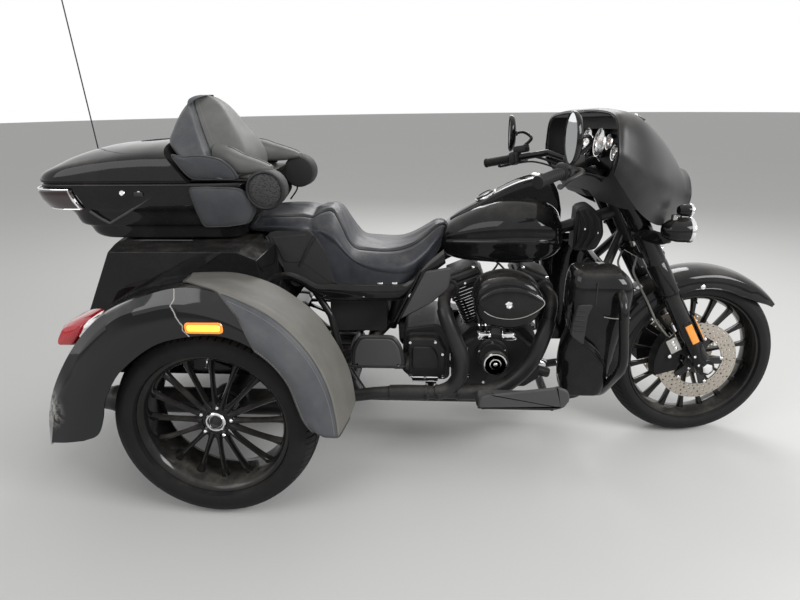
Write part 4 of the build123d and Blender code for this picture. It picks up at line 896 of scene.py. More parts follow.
# %% Fender rails
TRUNK_SIDE = 409
INNER_LINE = [(-1152, 262), (-1146, 400), (-1110, 516), (-1040, 612), (-945, 694), (-840, 738), (-730, 755),
              (-645, 759), (-577, 756), (-500, 736), (-427, 701), (-340, 632), (-298, 572), (-255, 487),
              (-230, 414), (-219, 345), (-216, 305)]
UPPER_EDGE = [(-1136, 275), (-1118, 380), (-1080, 480), (-1010, 590), (-924, 683), (-835, 736), (-748, 771),
              (-660, 792), (-587, 788), (-500, 760), (-399, 704), (-314, 613), (-260, 507), (-237, 400),
              (-232, 326)]
CREASE = [(-1110, 300), (-1080, 400), (-1040, 480), (-998, 537), (-943, 617), (-842, 705), (-738, 741),
          (-653, 754), (-553, 740), (-470, 700), (-395, 635), (-330, 550), (-290, 460), (-272, 390),
          (-268, 345)]
ARCH = [(-1003, 311), (-955, 333), (-930, 385), (-918, 430), (-902, 470), (-849, 545), (-748, 623),
        (-656, 654), (-552, 662), (-472, 636), (-406, 585), (-360, 520), (-338, 450), (-322, 400),
        (-300, 368), (-288, 364)]
ALONG = 150


def rail(line, y, count=ALONG):
    """One long rail at a fixed distance from the middle of the trike, even in its own length."""
    flat = smooth(line, count)
    return np.stack([flat[:, 0], np.full(count, float(-y)), flat[:, 1]], axis=1)


def fender_rails():
    inner, edge = rail(INNER_LINE, TRUNK_SIDE), rail(UPPER_EDGE, 664)
    rise = edge + unit(edge - (REAR_AXLE[0], -664, REAR_AXLE[2])) * 4
    crease, arch_edge = rail(CREASE, 691), rail(ARCH, 695)
    side = crease * 0.5 + arch_edge * 0.5
    side[:, 1] = -698
    top_rows = [(inner * (1 - share) + rise * share) * (1, 0, 1) - (0, y, 0)
                for y, share in ((TRUNK_SIDE, 0), (470, 0.10), (540, 0.34), (596, 0.68), (636, 0.92))]
    return np.stack(top_rows + [edge, crease, side, arch_edge])


RAILS = fender_rails()
EDGE_RAIL, CREASE_RAIL, LAST_RAIL = 5, 6, 8


def across(rails):
    """A smooth curve through the rails at every step: the top, then the band, then the side."""
    columns = []
    for first, last, steps in ((0, EDGE_RAIL, 26), (EDGE_RAIL, CREASE_RAIL, 5),
                               (CREASE_RAIL, LAST_RAIL, 10)):
        part = rails[first:last + 1]
        padded = np.concatenate([2 * part[:1] - part[1:2], part, 2 * part[-1:] - part[-2:-1]])
        at = np.linspace(0, last - first, steps)
        k = np.minimum(at.astype(int), last - first - 1)
        t = (at - k)[:, None, None]
        a, b, c, d = (padded[k + j] for j in range(4))
        piece = cubic(a, b, c, d, t)
        columns.append(piece if first == 0 else piece[1:])
    return np.concatenate(columns).transpose(1, 0, 2)


EDGE_COLUMN = 25
surface = across(RAILS)
facing = normals(surface)
OUTWARD = np.sign(facing[ALONG // 2, 0, 2])
print("fender grid", surface.shape, "faces out" if OUTWARD > 0 else "faces in")

# %% Fender paint and shells
CRACK = [(-664, 792), (-660, 770), (-669, 752), (-660, 736), (-655, 718), (-640, 694), (-641, 680),
         (-631, 668), (-622, 656)]
SCUFF = (-1120, -0.69, 0.415)


def near_line(finish, line, width):
    """1 on a chain of runs in the X, Z plane and 0 past its width, by the nearest run."""
    x, z = finish.axis("X"), finish.axis("Z")
    nearest = None
    for (x0, z0), (x1, z1) in zip(line, line[1:]):
        dx, dz = (x1 - x0) / 1000, (z1 - z0) / 1000
        long = dx * dx + dz * dz
        share = ((x - x0 / 1000) * (dx / long) + (z - z0 / 1000) * (dz / long)).most(0.0).least(1.0)
        off_x, off_z = x - (share * dx + x0 / 1000), z - (share * dz + z0 / 1000)
        run = (off_x * off_x + off_z * off_z) ** 0.5
        nearest = run if nearest is None else nearest.least(run)
    return 1 - finish.step(nearest, width * 0.35 / 1000, width / 1000)


def marked_paint():
    """Gloss black with a pale crack over its side and a rubbed, whitened patch at its tail."""
    finish = Finish("marked_black", specular_ior_level=0.36, coat_weight=0.3, coat_roughness=0.03)
    outside = 1 - finish.step(finish.axis("Y"), -0.66, -0.64)
    ragged = finish.node("ShaderNodeVectorMath", {"operation": "ADD"}, {
        0: finish.place, 1: finish.node("ShaderNodeVectorMath", {"operation": "SCALE"}, {
            0: finish.node("ShaderNodeTexNoise", None, {"Vector": finish.place, "Scale": 60.0}, "Color"),
            "Scale": 0.006})})
    plain_place, finish.place = finish.place, ragged
    crack = near_line(finish, CRACK, 2.6) * outside
    finish.place = plain_place
    away = finish.node("ShaderNodeVectorMath", {"operation": "DISTANCE"}, {
        0: finish.place, 1: (SCUFF[0] / 1000, SCUFF[1], SCUFF[2])}, "Value")
    scuff = (1 - finish.step(away, 0.015, 0.085)) * finish.step(finish.noise(55.0, 6.0, 0.7), 0.42, 0.56)
    dust = finish.facing_up() * finish.step(finish.noise(9.0, 6.0, 0.65), 0.40, 0.75) * 0.22
    pale = finish.mix(dust, (0.0040, 0.0043, 0.0055), (0.30, 0.28, 0.25))
    marks = crack.most(scuff)
    finish.feed(base_color=finish.mix(marks, pale, (0.42, 0.41, 0.38)),
                roughness=(marks * 0.5 + dust).least(0.8) + 0.06)
    finish.bump(1 - crack, 0.0012)
    return finish.material


marked_black = marked_paint()
FENDER_T = 4.5
fender = Shape()
fender.shell(surface if OUTWARD > 0 else surface[:, ::-1], FENDER_T, 0, 1)
build("fender_rear_right", fender, [marked_black, satin_black], "chassis",
      ["rear_fender_right"])
fender.repeat([MIRROR_Y])
build("fender_rear_left", fender, [gloss_black, satin_black], "chassis", ["rear_fender_left"])

# %% [markdown]
# ## Fitted covers
# A sewn vinyl cover is stretched over the front half of each rear fender. It is the fender's own surface
# from a slanted start line to the front foot, lifted along its normals, with piping on its edge and a seam
# on the crest.

# %% Fender covers
COVER_START_X = [-728, -718, -700, -676, -640, -548, -488, -466, -446]
COVER_LIFT = 4.0
COVER_T = 2.0


def cover_grid(count=120):
    """The rails cut at the start line and sampled again, then joined across, lifted and wrinkled."""
    cut = []
    for line, start_x in zip(RAILS, COVER_START_X):
        first = np.argmax(line[:, 0] > start_x)
        cut.append(even(line[first:], count))
    p = across(np.stack(cut))
    n = normals(p) * np.sign(normals(p)[count // 3, 0, 2])
    u, v = np.meshgrid(np.linspace(0, 1, count), np.arange(p.shape[1]), indexing="ij")
    seam = np.exp(-((v - EDGE_COLUMN) / 0.55) ** 2) * -2.2
    puff = 2.2 * np.sin(pi * np.clip(v / EDGE_COLUMN, 0, 1)) * np.clip(6 * u, 0, 1)
    folds = 0.9 * np.sin(30 * u + 0.35 * v) * np.clip((u - 0.55) * 4, 0, 1) * np.clip((v - 20) / 8, 0, 1)
    soft = 0.7 * np.sin(9 * u + 0.5 * v) * np.sin(0.4 * v + 2 * u)
    edge = np.clip(np.minimum(u, 1 - u) * 40, 0, 1) * np.clip((p.shape[1] - 1 - v) / 1.5, 0, 1)
    lift = COVER_LIFT + seam + (puff + folds + soft) * edge
    return p + n * lift[..., None], n


def stitches(shape, path, lift, spacing=7.0, long=4.2, r=0.7, mark=0):
    """Short round threads end to end along a path, one shape turned into each run's direction."""
    count = max(int(np.linalg.norm(np.diff(path, axis=0), axis=1).sum() / spacing), 2)
    at = even(np.hstack([path, lift]), count)
    place, out = at[:, :3], unit(at[:, 3:])
    ahead = unit(np.gradient(place, axis=0))
    side = np.cross(ahead, out)
    turn = whole_turn(5)
    ring = np.cos(turn)[:, None] * side[:, None] * r + np.sin(turn)[:, None] * out[:, None] * r
    ends = np.array([-0.5, -0.3, 0.3, 0.5]) * long
    wide = np.array([0.25, 1, 1, 0.25])
    along = ends[None, :, None, None] * ahead[:, None, None]
    p = place[:, None, None] + along + wide[None, :, None, None] * ring[:, None]
    for one in p:
        shape.solid(one, mark)


cover_top, cover_normal = cover_grid()
thread = Finish("thread", base_color=(0.30, 0.29, 0.27), roughness=0.8).material
piping_vinyl = hide("piping_vinyl", (0.035, 0.034, 0.033), (0.06, 0.06, 0.06), 0.42, 640.0, 0.0001, 0.4)
for side, word in ((-1, "right"), (1, "left")):
    cover = Shape()
    cover.shell(cover_top, COVER_T * np.sign(normals(cover_top)[40, 0, 2]))
    column = np.hstack([np.tile(np.arange(cover_top.shape[1] - 1), 2 * (len(cover_top) - 1)),
                        np.tile(np.arange(cover_top.shape[1] - 1), 2), np.zeros(2 * (len(cover_top) - 1))])
    # Columns before the edge column, the top panel, take mark 0, the paler vinyl with painted sunlight, so
    # the top is painted lighter than the side.
    cover.marks = (column >= EDGE_COLUMN).astype(int).tolist()
    piping = Shape()
    border = np.vstack([cover_top[0, 3:], cover_top[1:, -1], cover_top[-1, -2:8:-1]])
    piping.tube(even(border, 260), 2.6, 8)
    seam_line, lift = cover_top[2:-1, EDGE_COLUMN], cover_normal[2:-1, EDGE_COLUMN]
    piping.tube(seam_line - lift * 0.6, 1.5, 6)
    for shift in (-1, 1):
        stitches(piping, cover_top[3:-2, EDGE_COLUMN + shift] + lift[1:-1] * 0.2, lift[1:-1], mark=1)
    inner_edge = cover_top[1:, -2] * 0.45 + cover_top[1:, -1] * 0.55
    stitches(piping, inner_edge[2:] + cover_normal[3:, -1] * 0.4, cover_normal[3:, -1], mark=1)
    if side > 0:
        cover.repeat([MIRROR_Y])
        piping.repeat([MIRROR_Y])
    trim = build(f"cover_piping_{word}", piping, [piping_vinyl, thread], "chassis")
    cloth = build(f"fender_cover_{word}", cover, [painted_sunlit_vinyl, cover_vinyl], "chassis",
                  ["fender_covers"] if side < 0 else ())

# %% [markdown]
# ## Cushions
# Each cushion is a smooth surface through a net of points: a row of sections along it, each given from the
# middle out and down. Half of a section is written and the other half mirrored. Seams are drawn into the
# surface as narrow dips, and the welt is a thin tube laid over the seam.

# %% Cushions
# x, then the height in the middle; then y and height of the welt, of the widest line, of the tuck and of
# the foot
SEAT = np.array([(-604, 878, 132, 868, 158, 858, 160, 850, 150, 846),
                 (-585, 893, 138, 882, 168, 862, 168, 850, 156, 844),
                 (-500, 900, 140, 889, 178, 866, 176, 848, 162, 836),
                 (-425, 901, 134, 890, 174, 862, 174, 836, 162, 812),
                 (-384, 898, 118, 884, 160, 856, 168, 818, 160, 780),
                 (-352, 903, 90, 896, 164, 856, 174, 824, 166, 722),
                 (-322, 907, 76, 899, 172, 850, 180, 800, 172, 668),
                 (-300, 892, 92, 880, 178, 836, 184, 786, 176, 654),
                 (-278, 858, 112, 842, 182, 806, 186, 768, 178, 649),
                 (-256, 818, 126, 800, 185, 776, 188, 748, 180, 648),
                 (-228, 788, 128, 772, 188, 750, 190, 726, 182, 647),
                 (-185, 772, 124, 764, 190, 734, 190, 705, 184, 646),
                 (-130, 766, 120, 760, 189, 724, 188, 690, 182, 646),
                 (-75, 772, 116, 764, 184, 722, 182, 682, 176, 647),
                 (-25, 792, 106, 780, 164, 734, 162, 686, 156, 654),
                 (20, 822, 84, 808, 132, 762, 130, 720, 120, 696),
                 (55, 845, 60, 834, 98, 796, 96, 760, 88, 740),
                 (78, 849, 44, 840, 72, 812, 70, 788, 62, 776),
                 (92, 838, 30, 832, 50, 816, 48, 802, 42, 796)])


def section_net(table):
    """Rows of whole sections: the right half from the foot up to the middle, then the left half down."""
    x, top = table[:, 0], table[:, 1]
    pairs = table[:, 2:].reshape(len(table), -1, 2)
    inner = np.stack([pairs[:, 0, 0] * 0.55, top * 0.6 + pairs[:, 0, 1] * 0.4], axis=-1)
    half = np.concatenate([pairs[:, ::-1], inner[:, None]], axis=1)
    middle = np.stack([0 * x, top], axis=-1)[:, None]
    right = np.concatenate([half * (-1, 1), middle, half[:, ::-1]], axis=1)
    xs = np.broadcast_to(x[:, None, None], (*right.shape[:2], 1))
    return np.concatenate([xs, right], axis=2)


def dip(v, middle, width, depth):
    """A narrow valley across the columns of a grid."""
    return -depth * np.exp(-((v - middle) / width) ** 2)


def cushion(p, lift):
    """A surface moved along its own normals by a height for each point."""
    n = normals(p)
    n = n * np.sign((n[..., 2] * (p[..., 2] > np.median(p[..., 2]))).sum())
    return p + n * lift[..., None], n


STEPS = 8
seat_grid = net(section_net(SEAT), 7, STEPS)
u, v = np.meshgrid(np.arange(seat_grid.shape[0]), np.arange(seat_grid.shape[1]), indexing="ij")
last = seat_grid.shape[1] - 1
WELT, TUCK = 3 * STEPS, 1 * STEPS
lumbar = 7 * 5
lift = 0.0 * u
for side in (WELT, last - WELT):
    lift += dip(v, side, 0.7, 2.6)
for side in (TUCK + 2, last - TUCK - 2):
    lift += dip(v, side, 0.8, 1.8) * (u > lumbar)
pillion = np.exp(-((u - 7 * 4) / 1.6) ** 2)
lift -= 3.5 * pillion
inside = (v > WELT) & (v < last - WELT)
lift += inside * 5 * np.sin(pi * (v - WELT) / (last - 2 * WELT)).clip(0) ** 0.5 * np.clip((u - 2) / 6, 0, 1)
lift += 1.2 * np.sin(0.35 * u + 0.6 * v) * np.sin(0.21 * v) * inside
seat_top, seat_out = cushion(seat_grid, lift)
seat = Shape()
seat.solid(seat_top)
welts = Shape()
for column in (WELT, last - WELT):
    line, out = seat_top[2:-2, column], seat_out[2:-2, column]
    welts.tube(line + out * 0.7, 2.3, 8)
    for shift in (-2, 2):
        stitches(welts, seat_top[lumbar:-4, column + shift] + seat_out[lumbar:-4, column + shift] * 0.3,
                 seat_out[lumbar:-4, column + shift], mark=1)
welts.tube(even(seat_top[3:-3, 0] + (0, -1, 1), 120), 3.0, 8)
welts.tube(even(seat_top[3:-3, last] + (0, 1, 1), 120), 3.0, 8)
for x in (-142, -89):
    for side in (-1, 1):
        welts.block((x, side * 181, 656), (22, 8, 9), 3.4, None, 2)
seat_piece = build("seat_cushion", seat, seat_leather, "chassis", ["seat"], crease=50)
build("seat_welts", welts, [soft_rubber, thread, chrome], "chassis")

# %% [markdown]
# ## Backrest
# The backrest is a tall pad that leans back, with its sides sewn to a narrow front face, and two wings that
# reach forward as armrests. Below each wing a padded side panel closes the gap to the top case.

# %% Backrest
# height, then x of the back, x of the front in the middle; half width of the back, of the seam; x of the
# seam
BACKREST = np.array([(1036, -762, -600, 250, 214, -632), (1070, -786, -596, 252, 214, -655),
                     (1110, -824, -604, 242, 198, -690), (1150, -856, -624, 212, 170, -715),
                     (1190, -852, -652, 176, 140, -738), (1230, -838, -678, 146, 112, -758),
                     (1262, -820, -702, 118, 86, -775), (1284, -800, -728, 86, 60, -784),
                     (1295, -782, -750, 52, 36, -776), (1299, -772, -764, 18, 12, -768)])
rows = []
for z, back, front, wide, seam, seam_x in BACKREST:
    middle = (back + seam_x) / 2
    half = [(front, 0), (front - 3, seam * 0.6), (seam_x, seam), (seam_x - 14, seam * 0.5 + wide * 0.62),
            (middle + 4, wide), (back + 26, wide * 0.94), (back + 4, wide * 0.62), (back, 0)]
    ring = half + [(x, -y) for x, y in half[-2:0:-1]]
    rows.append([(x, y, z) for x, y in ring])
pad = net(np.array(rows, float), 7, 5, False, True)
count = pad.shape[1]
columns = np.arange(count)[None, :] + 0 * pad[..., 0]
SEAM = 2 * 5
valley = dip(columns, SEAM, 0.6, 2.4) + dip(columns, count - SEAM, 0.6, 2.4)
outward = normals(pad, False, True)
outward *= np.sign((outward[:, 0, 0]).sum())
pad = pad + outward * valley[..., None]
backrest = Shape()
backrest.grid(pad, 0, False, True)
on_face = (np.arange(count) < SEAM) | (np.arange(count) >= count - SEAM)
# The front face takes mark 2, the paler leather with painted sunlight, so it is painted lighter than the
# sides.
backrest.marks = np.tile(np.where(on_face, 2, 0), len(pad) - 1).tolist()
backrest.cap(pad[0])
backrest.cap(pad[-1])
trim = Shape()
for column in (SEAM, count - SEAM):
    trim.tube(even(pad[6:-6, column] + outward[6:-6, column] * 0.6, 80), 2.2, 8)
    for shift in (-1, 1):
        stitches(trim, pad[6:-8, column + shift] + outward[6:-8, column + shift] * 0.3,
                 outward[6:-8, column + shift], mark=1)

# Armrests: x, then y and z of the middle of the pad, its half width and half height
ARMS = np.array([(-690, 150, 1096, 60, 46), (-630, 192, 1090, 54, 42), (-585, 212, 1080, 47, 34),
                 (-545, 219, 1074, 42, 26), (-510, 222, 1070, 34, 17), (-488, 220, 1067, 22, 8)])
around = whole_turn(12)
ring_y = np.sign(np.cos(around)) * np.abs(np.cos(around)) ** 0.75
ring_z = np.sign(np.sin(around)) * np.abs(np.sin(around)) ** 0.75
for side in (-1, 1):
    x, y, z, wide, tall = (ARMS[:, k, None] for k in range(5))
    arm = np.stack([x + 0 * ring_y, side * (y + wide * ring_y), z + tall * ring_z + 0 * x], axis=-1)
    arm = net(arm, 5, 3, False, True)
    # The armrests take mark 2 as well: painted sunlight on the same leather.
    backrest.solid(arm, 2)
    trim.tube(even(arm[4:-1, 9], 40), 2.0, 8)

# Side panels of the backrest and side pads of the case: outlines in x, z
SIDE_PANEL = [(-806, 1122), (-770, 1112), (-700, 1116), (-640, 1104), (-604, 1074), (-588, 1034),
              (-640, 1033), (-752, 1034), (-776, 1062)]
SIDE_PAD = [(-758, 1014), (-700, 1017), (-627, 1014), (-577, 1008), (-552, 974), (-540, 932), (-571, 886),
            (-642, 874), (-732, 871), (-748, 933)]


def pillow(shape, outline, base_y, tilt, puff, flat, mark=0, count=72, rings=9):
    """A padded panel: rings of its outline drawn in to its middle, rising as the sine of their place."""
    line = closed_line(outline, 16, count)
    middle = line.mean(axis=0)
    s = np.linspace(0, 1, rings)[:, None]
    x = line[:, 0] + (middle[0] - line[:, 0]) * s ** 1.4 * 0.94
    z = line[:, 1] + (middle[1] - line[:, 1]) * s ** 1.4 * 0.94
    rise = flat * np.clip(s * 6, 0, 1) ** 0.5 + puff * np.sin(pi / 2 * s)
    y = base_y - tilt * (z - middle[1]) - rise
    p = np.stack([x, y, z], axis=-1)
    foot = np.stack([line[:, 0], base_y - tilt * (line[:, 1] - middle[1]) + 4, line[:, 1]], axis=-1)
    p = np.concatenate([foot[None], p])
    shape.grid(p, mark, False, True)
    shape.cap(p[-1], mark)
    shape.cap(p[0], mark)
    return p


panels, pads = Shape(), Shape()
edge = pillow(panels, SIDE_PANEL, -262, 0.30, 7, 7)
panels.tube(edge[2], 2.2, 8, 1, True)
line = pillow(pads, SIDE_PAD, -262, 0.24, 7, 8)
pads.tube(line[2], 2.0, 8, 1, True)
TRIM_EDGE = smooth([(-556, -272, 1010), (-534, -270, 974), (-522, -262, 930), (-552, -254, 884)], 40)
pads.tube(TRIM_EDGE, 3.4, 8, 2)
backrest.join(both_sides(panels))
backrest_piece = build("backrest_cushion", backrest, [grey_leather, piping_vinyl, painted_sunlit_leather], "case_lid",
                       ["backrest"], crease=50)
build("backrest_welts", trim, [piping_vinyl, thread], "case_lid")
pad_piece = build("side_pad_cushions", both_sides(pads), [grey_leather, piping_vinyl, satin_black],
                  "chassis", ["side_pads"], crease=50)

# %% [markdown]
# ## Top case
# The case and its lid are rings one above the other. Each ring is a rounded oblong in plan; in the lid its
# height also changes along the case, so that the lid climbs from the rear to the backrest. Points that
# would pass the backrest's slanted wall are moved back onto it.

# %% Luggage box and lid
def oblong(x0, x1, half, radius, count=120, tail=0):
    """A rounded oblong in plan, its rear end bowed outwards by tail, as x and y."""
    line = corner_ring([(x1, half), (x0, half), (x0, -half), (x1, -half)], radius, 9, count)
    bow = tail * (1 - (line[:, 1] / half) ** 2) * np.clip((x0 + radius - line[:, 0]) / radius, 0, 1)
    return np.stack([line[:, 0] - bow, line[:, 1]], axis=1)


def vessel(shape, outer, inner, mark=0, inner_mark=0):
    """A hollow form: its outside and inside as rings, joined at the mouth, capped at the end."""
    for p, m in ((outer, mark), (inner, inner_mark)):
        shape.grid(p, m, False, True)
        shape.cap(p[-1], m)
    shape.grid(np.stack([outer[0], inner[0]]), mark, False, True)


# x of the rear and of the front, half width, corner radius, height at the rear and at the front
LID = [(-1296, -545, 280, 110, 1027, 1027), (-1298, -545, 281, 110, 1031, 1031),
       (-1296, -545, 279, 110, 1044, 1052), (-1289, -545, 272, 108, 1051, 1092),
       (-1278, -545, 262, 104, 1056, 1112), (-1258, -545, 240, 96, 1062, 1126),
       (-1214, -560, 196, 84, 1078, 1139), (-1160, -580, 140, 70, 1094, 1147),
       (-1100, -620, 70, 40, 1107, 1151)]
CASE = [(-1296, -545, 280, 110, 1022, 1022), (-1297, -545, 281, 110, 1016, 1016),
        (-1283, -550, 276, 108, 985, 985), (-1262, -558, 268, 102, 944, 944),
        (-1212, -572, 258, 96, 925, 925), (-1192, -590, 248, 88, 884, 884),
        (-1164, -598, 243, 82, 874, 874), (-1146, -606, 238, 76, 846, 846),
        (-1116, -612, 234, 70, 834, 834), (-1090, -640, 214, 60, 832, 832)]
CLIMB = [-1300, -1200, -1100, -1000, -900, -545]
CLIMB_SHARE = [0, 0.36, 0.64, 0.84, 0.96, 1]


def rings(table, inset=0, drop=0, tail=10):
    out = []
    for x0, x1, half, radius, low, high in table:
        flat = oblong(x0 + inset, x1 - inset, half - inset, max(radius - inset, 10), tail=tail)
        share = np.interp(flat[:, 0], CLIMB, CLIMB_SHARE)
        out.append(np.column_stack([flat, low + (high - low) * share + drop]))
    return np.array(out)


def cut_front(p, inset=0):
    """Moves points back to the slanted wall behind the backrest: x falls as the height grows."""
    wall = -764 - inset - (p[..., 2] - 1035) * (104 / 125)
    p = p.copy()
    p[..., 0] = np.minimum(p[..., 0], wall)
    return p


lid = Shape()
lid_outside = cut_front(spline(rings(LID), 3))
lid_inside = cut_front(spline(rings(LID[:1] + LID[2:], 5, -4), 3), 5)
vessel(lid, lid_outside, lid_inside, 0, 1)
lid.block((-650, 0, 1030.5), (212, 500, 6.5), 2, None, 1)
case = Shape()
vessel(case, spline(rings(CASE), 3), spline(rings(CASE, 5, 3), 3), 0, 1)
# The V ribs along the case's side crease are grey plastic, paler than the paint: a painted highlight on the
# crease.
for k in (-1, 1):
    rib = smooth([(-846, k * 271, 1003), (-950, k * 262, 945), (-1056, k * 251, 888)], 40)
    case.tube(rib + (0, k * 3, 0), 4.6, 8, 4)
    rib = smooth([(-1056, k * 251, 888), (-1085, k * 257, 908), (-1112, k * 263, 932)], 20)
    case.tube(rib + (0, k * 3, 0), 4.6, 8, 4)
case.tube([(-1030, -240, 823), (-780, -240, 823)], 4, 10, 2)
for x, r in ((-984, 9.5), (-927, 7)):
    case.revolve([(r, 0), (r, 5), (r - 2, 7), (r * 0.45, 7), (r * 0.4, 5.5), (0, 5.5)], (x, -274, 994),
                 (0, -1, 0.1), 24, 2)
case.block((-927, -280, 990), (30, 8, 16), 3, None, 3)
for x in (-1100, -820):
    for edge in (-26, 26):
        case.block((x + edge, 284, 1018), (7, 18, 16), 2, None, 1)
    case.revolve([(2.5, -29), (2.5, 29)], (x, 290, 1024), (1, 0, 0), 16, 1)
    lid.block((x, 284, 1032), (42, 18, 8), 2, None, 1)
    lid.revolve([(5, -21), (5, 21)], (x, 290, 1024), (1, 0, 0), 24, 1)
build("case_lid_shell", lid, [dark_paint, satin_black], "case_lid", ["case_lid"])
build("top_case_shell", case, [dark_paint, satin_black, chrome, matte_black, grey_plastic], "chassis",
      ["top_case"])
softened("case_mount", 4)

# %% [markdown]
# ## Rear lamps and speakers
# The band of the case is a dark lens round its rear with a bright edge. Each fender carries a red lamp that
# stands out behind a bright bezel, and a lit amber marker in a thin frame.

# %% Rear lamps
def strip(table, inset, limit):
    """The rings of a band round the rear, open towards the front."""
    p = rings(table, inset)
    start = np.roll(p, -60, axis=1)
    keep = start[0, :, 0] < limit
    return start[:, keep]


lamps = Shape()
BAND = [(-1306, -500, 290, 112, 1006, 1006), (-1309, -500, 291, 112, 1000, 1000),
        (-1300, -500, 288, 110, 972, 972), (-1283, -500, 282, 108, 946, 946),
        (-1276, -500, 276, 106, 940, 940)]
band = strip(BAND, 0, -1150)
order = np.argsort(np.arctan2(band[0, :, 1], -(band[0, :, 0] + 900)))
band = band[:, order]
back = band.copy()
back[..., :2] += (np.array((-900, 0)) - back[..., :2]) * 0.028
lamps.grid(band, 1)
lamps.grid(back, 1)
for a, b in ((band[0], back[0]), (band[-1], back[-1]), (band[:, 0], back[:, 0]),
             (band[:, -1], back[:, -1])):
    lamps.grid(np.stack([a, b]), 1)
lamps.tube(band[0] + (0, 0, 1.5), 2.4, 8, 2)
lamps.tube(band[-1], 2.4, 8, 2)
for k in (0, -1):
    lamps.tube(band[:, k], 2.6, 8, 2)

TAIL = [(-1082, 587), (-1076, 612), (-1046, 660), (-1000, 675), (-964, 674), (-988, 628), (-1022, 588)]
BEZEL = [(-964, 679), (-936, 681), (-942, 658), (-992, 612), (-1000, 622), (-984, 648)]
TAIL_LIFT = [(0.0, 1.0), (0.5, 1.0), (0.85, 0.93), (1.0, 0.72), (1.04, 0.4), (1.045, 0.05)]
for side in (-1, 1):
    for outline, mark, y_in, y_out in ((TAIL, 0, 520, 630), (BEZEL, 2, 530, 636)):
        line = closed_line(outline, 14, 48)
        middle = line.mean(axis=0)
        p = np.stack([np.column_stack([middle[0] + (line[:, 0] - middle[0]) * s,
                                       np.full(48, side * (y_in + (y_out - y_in) * t)),
                                       middle[1] + (line[:, 1] - middle[1]) * s]) for t, s in TAIL_LIFT])
        lamps.solid(p, mark)
    for outline, out, mark in (((110, 34, 14), 700, 3), ((96, 20, 9), 702, 4)):
        long, tall, radius = outline
        line = rounded([(-584 - long / 2, 686 - tall / 2), (-584 + long / 2, 686 - tall / 2),
                        (-584 + long / 2, 686 + tall / 2), (-584 - long / 2, 686 + tall / 2)], radius, 6)
        lamps.plate(line, *sorted((side * (out - 9), side * out)), 2.5, mark)
build("rear_lamp_set", lamps, [red_lens, dark_lens, chrome, amber_edge, amber_lens], "chassis",
      ["rear_lamps"])

# %% Speakers
def grille_cloth():
    """Dark plastic with rows of small round holes: the nearest-cell distance sets colour and height."""
    finish = Finish("grille", specular_ior_level=0.4, roughness=0.6)
    holes = finish.step(finish.cells(230.0), 0.28, 0.44)
    finish.feed(base_color=finish.mix(holes, (0.004, 0.004, 0.004), (0.045, 0.045, 0.047)))
    finish.bump(holes, 0.0012)
    return finish.material


grille = grille_cloth()
POD_LINE = (-500, 0, 1002), (0, -1, 0)
pods = Shape()
pods.revolve([(40, 204), (56, 206), (62, 214), (64, 262), (65, 276), (62, 284), (57, 286), (55, 280)],
             *POD_LINE, 64)
pods.revolve([(55.4, 272), (55.4, 281), (44, 286), (26, 289), (0, 290)], *POD_LINE, 64, 1)
pods.revolve([(59, 284.5), (60.5, 287), (58, 288), (56.5, 286)], *POD_LINE, 64, 2, True)
pods.block((-560, -246, 974), (110, 36, 44), 12)
build("speaker_drums", both_sides(pods), [matte_black, grille, satin_black], "chassis",
      ["speaker_pods"])

# %% [markdown]
# ## Trunk body
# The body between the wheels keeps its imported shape, with broad rounds along its outer edges only.

# %% Trunk and side covers
def outer_edges(mid):
    """Picks edges on the outside of the body by their middles, but not those round its door."""
    x, y, z = mid[:, 0], np.abs(mid[:, 1]), mid[:, 2]
    outside = (y > 400) | (z > 822) | (z < 404) | (x > -515)
    return outside & (x > -1240) & (y < 409) & ~((y < 340) & (x < -1000))


softened("trunk_body", 16, 30, outer_edges)
softened("trunk_door", 4)
softened("battery_box", 8)
softened("rear_bumper", 2)
softened("frame", 1)

COVER_PANEL = [(-540, 834), (-500, 846), (-388, 850), (-362, 822), (-330, 770), (-300, 700), (-300, 640),
               (-460, 640), (-486, 690)]
TRIM_TOP = [(-498, 690), (-469, 694), (-417, 676), (-368, 650), (-300, 650), (-200, 650), (-80, 650),
            (-30, 668), (20, 724), (86, 780)]
TRIM_LOW = [(-498, 668), (-462, 668), (-420, 646), (-378, 616), (-330, 596), (-200, 592), (-80, 596),
            (-24, 630), (22, 680), (90, 734)]
covers = Shape()
covers.plate(closed_line(COVER_PANEL, 14, 90), -176, -158, 4, 1)
covers.plate(closed_line([(-522, 822), (-396, 834), (-426, 730), (-482, 730)], 12, 60), -179, -170, 3, 1)
for line in ([(-541, 826), (-520, 780), (-490, 716)], [(-366, 826), (-396, 780), (-428, 716)]):
    covers.tube(smooth([(x, -177, z) for x, z in line], 24), 4.5, 8, 2)
top, low = smooth(TRIM_TOP, 110), smooth(TRIM_LOW, 110)
share = np.linspace(0, 1, 8)[None, :, None]
flat = top[:, None] * (1 - share) + low[:, None] * share
y = -180 - 9 * np.sin(pi * np.linspace(0, 1, 8)) ** 0.7
band = np.stack([flat[..., 0], np.broadcast_to(y, flat.shape[:2]), flat[..., 1]], axis=-1)
covers.shell(band, 4, 0)
for x, z in ((-478, 680), (-375, 633), (-342, 612), (-201, 610)):
    covers.revolve([(6.5, 0), (6.5, 3), (4.5, 5.5), (0, 6)], (x, -186, z), (0, -1, 0), 16, 3)
FRAME_PANEL = [(-74, 524), (44, 592), (102, 646), (112, 722), (18, 706), (-28, 616)]
covers.plate(closed_line(FRAME_PANEL, 12, 70), -208, -190, 4, 4)
for shift in (0, 13):
    covers.tube(smooth([(-92 + shift, -206, 520), (-46 + shift, -206, 612), (4 + shift, -204, 712)], 30),
                4.2, 8, 0)
build("side_cover_panels", both_sides(covers),
      [gloss_black, matte_black, satin_black, chrome, grey_plastic],
      "chassis", ["side_covers"])

# %% [markdown]
# ## Fairing
# Each row of the net is one section across the fairing: from its lower edge on the right, round the widest
# point and the shoulder, over the top and down the left. The last rows close to the headlamp's round mouth.

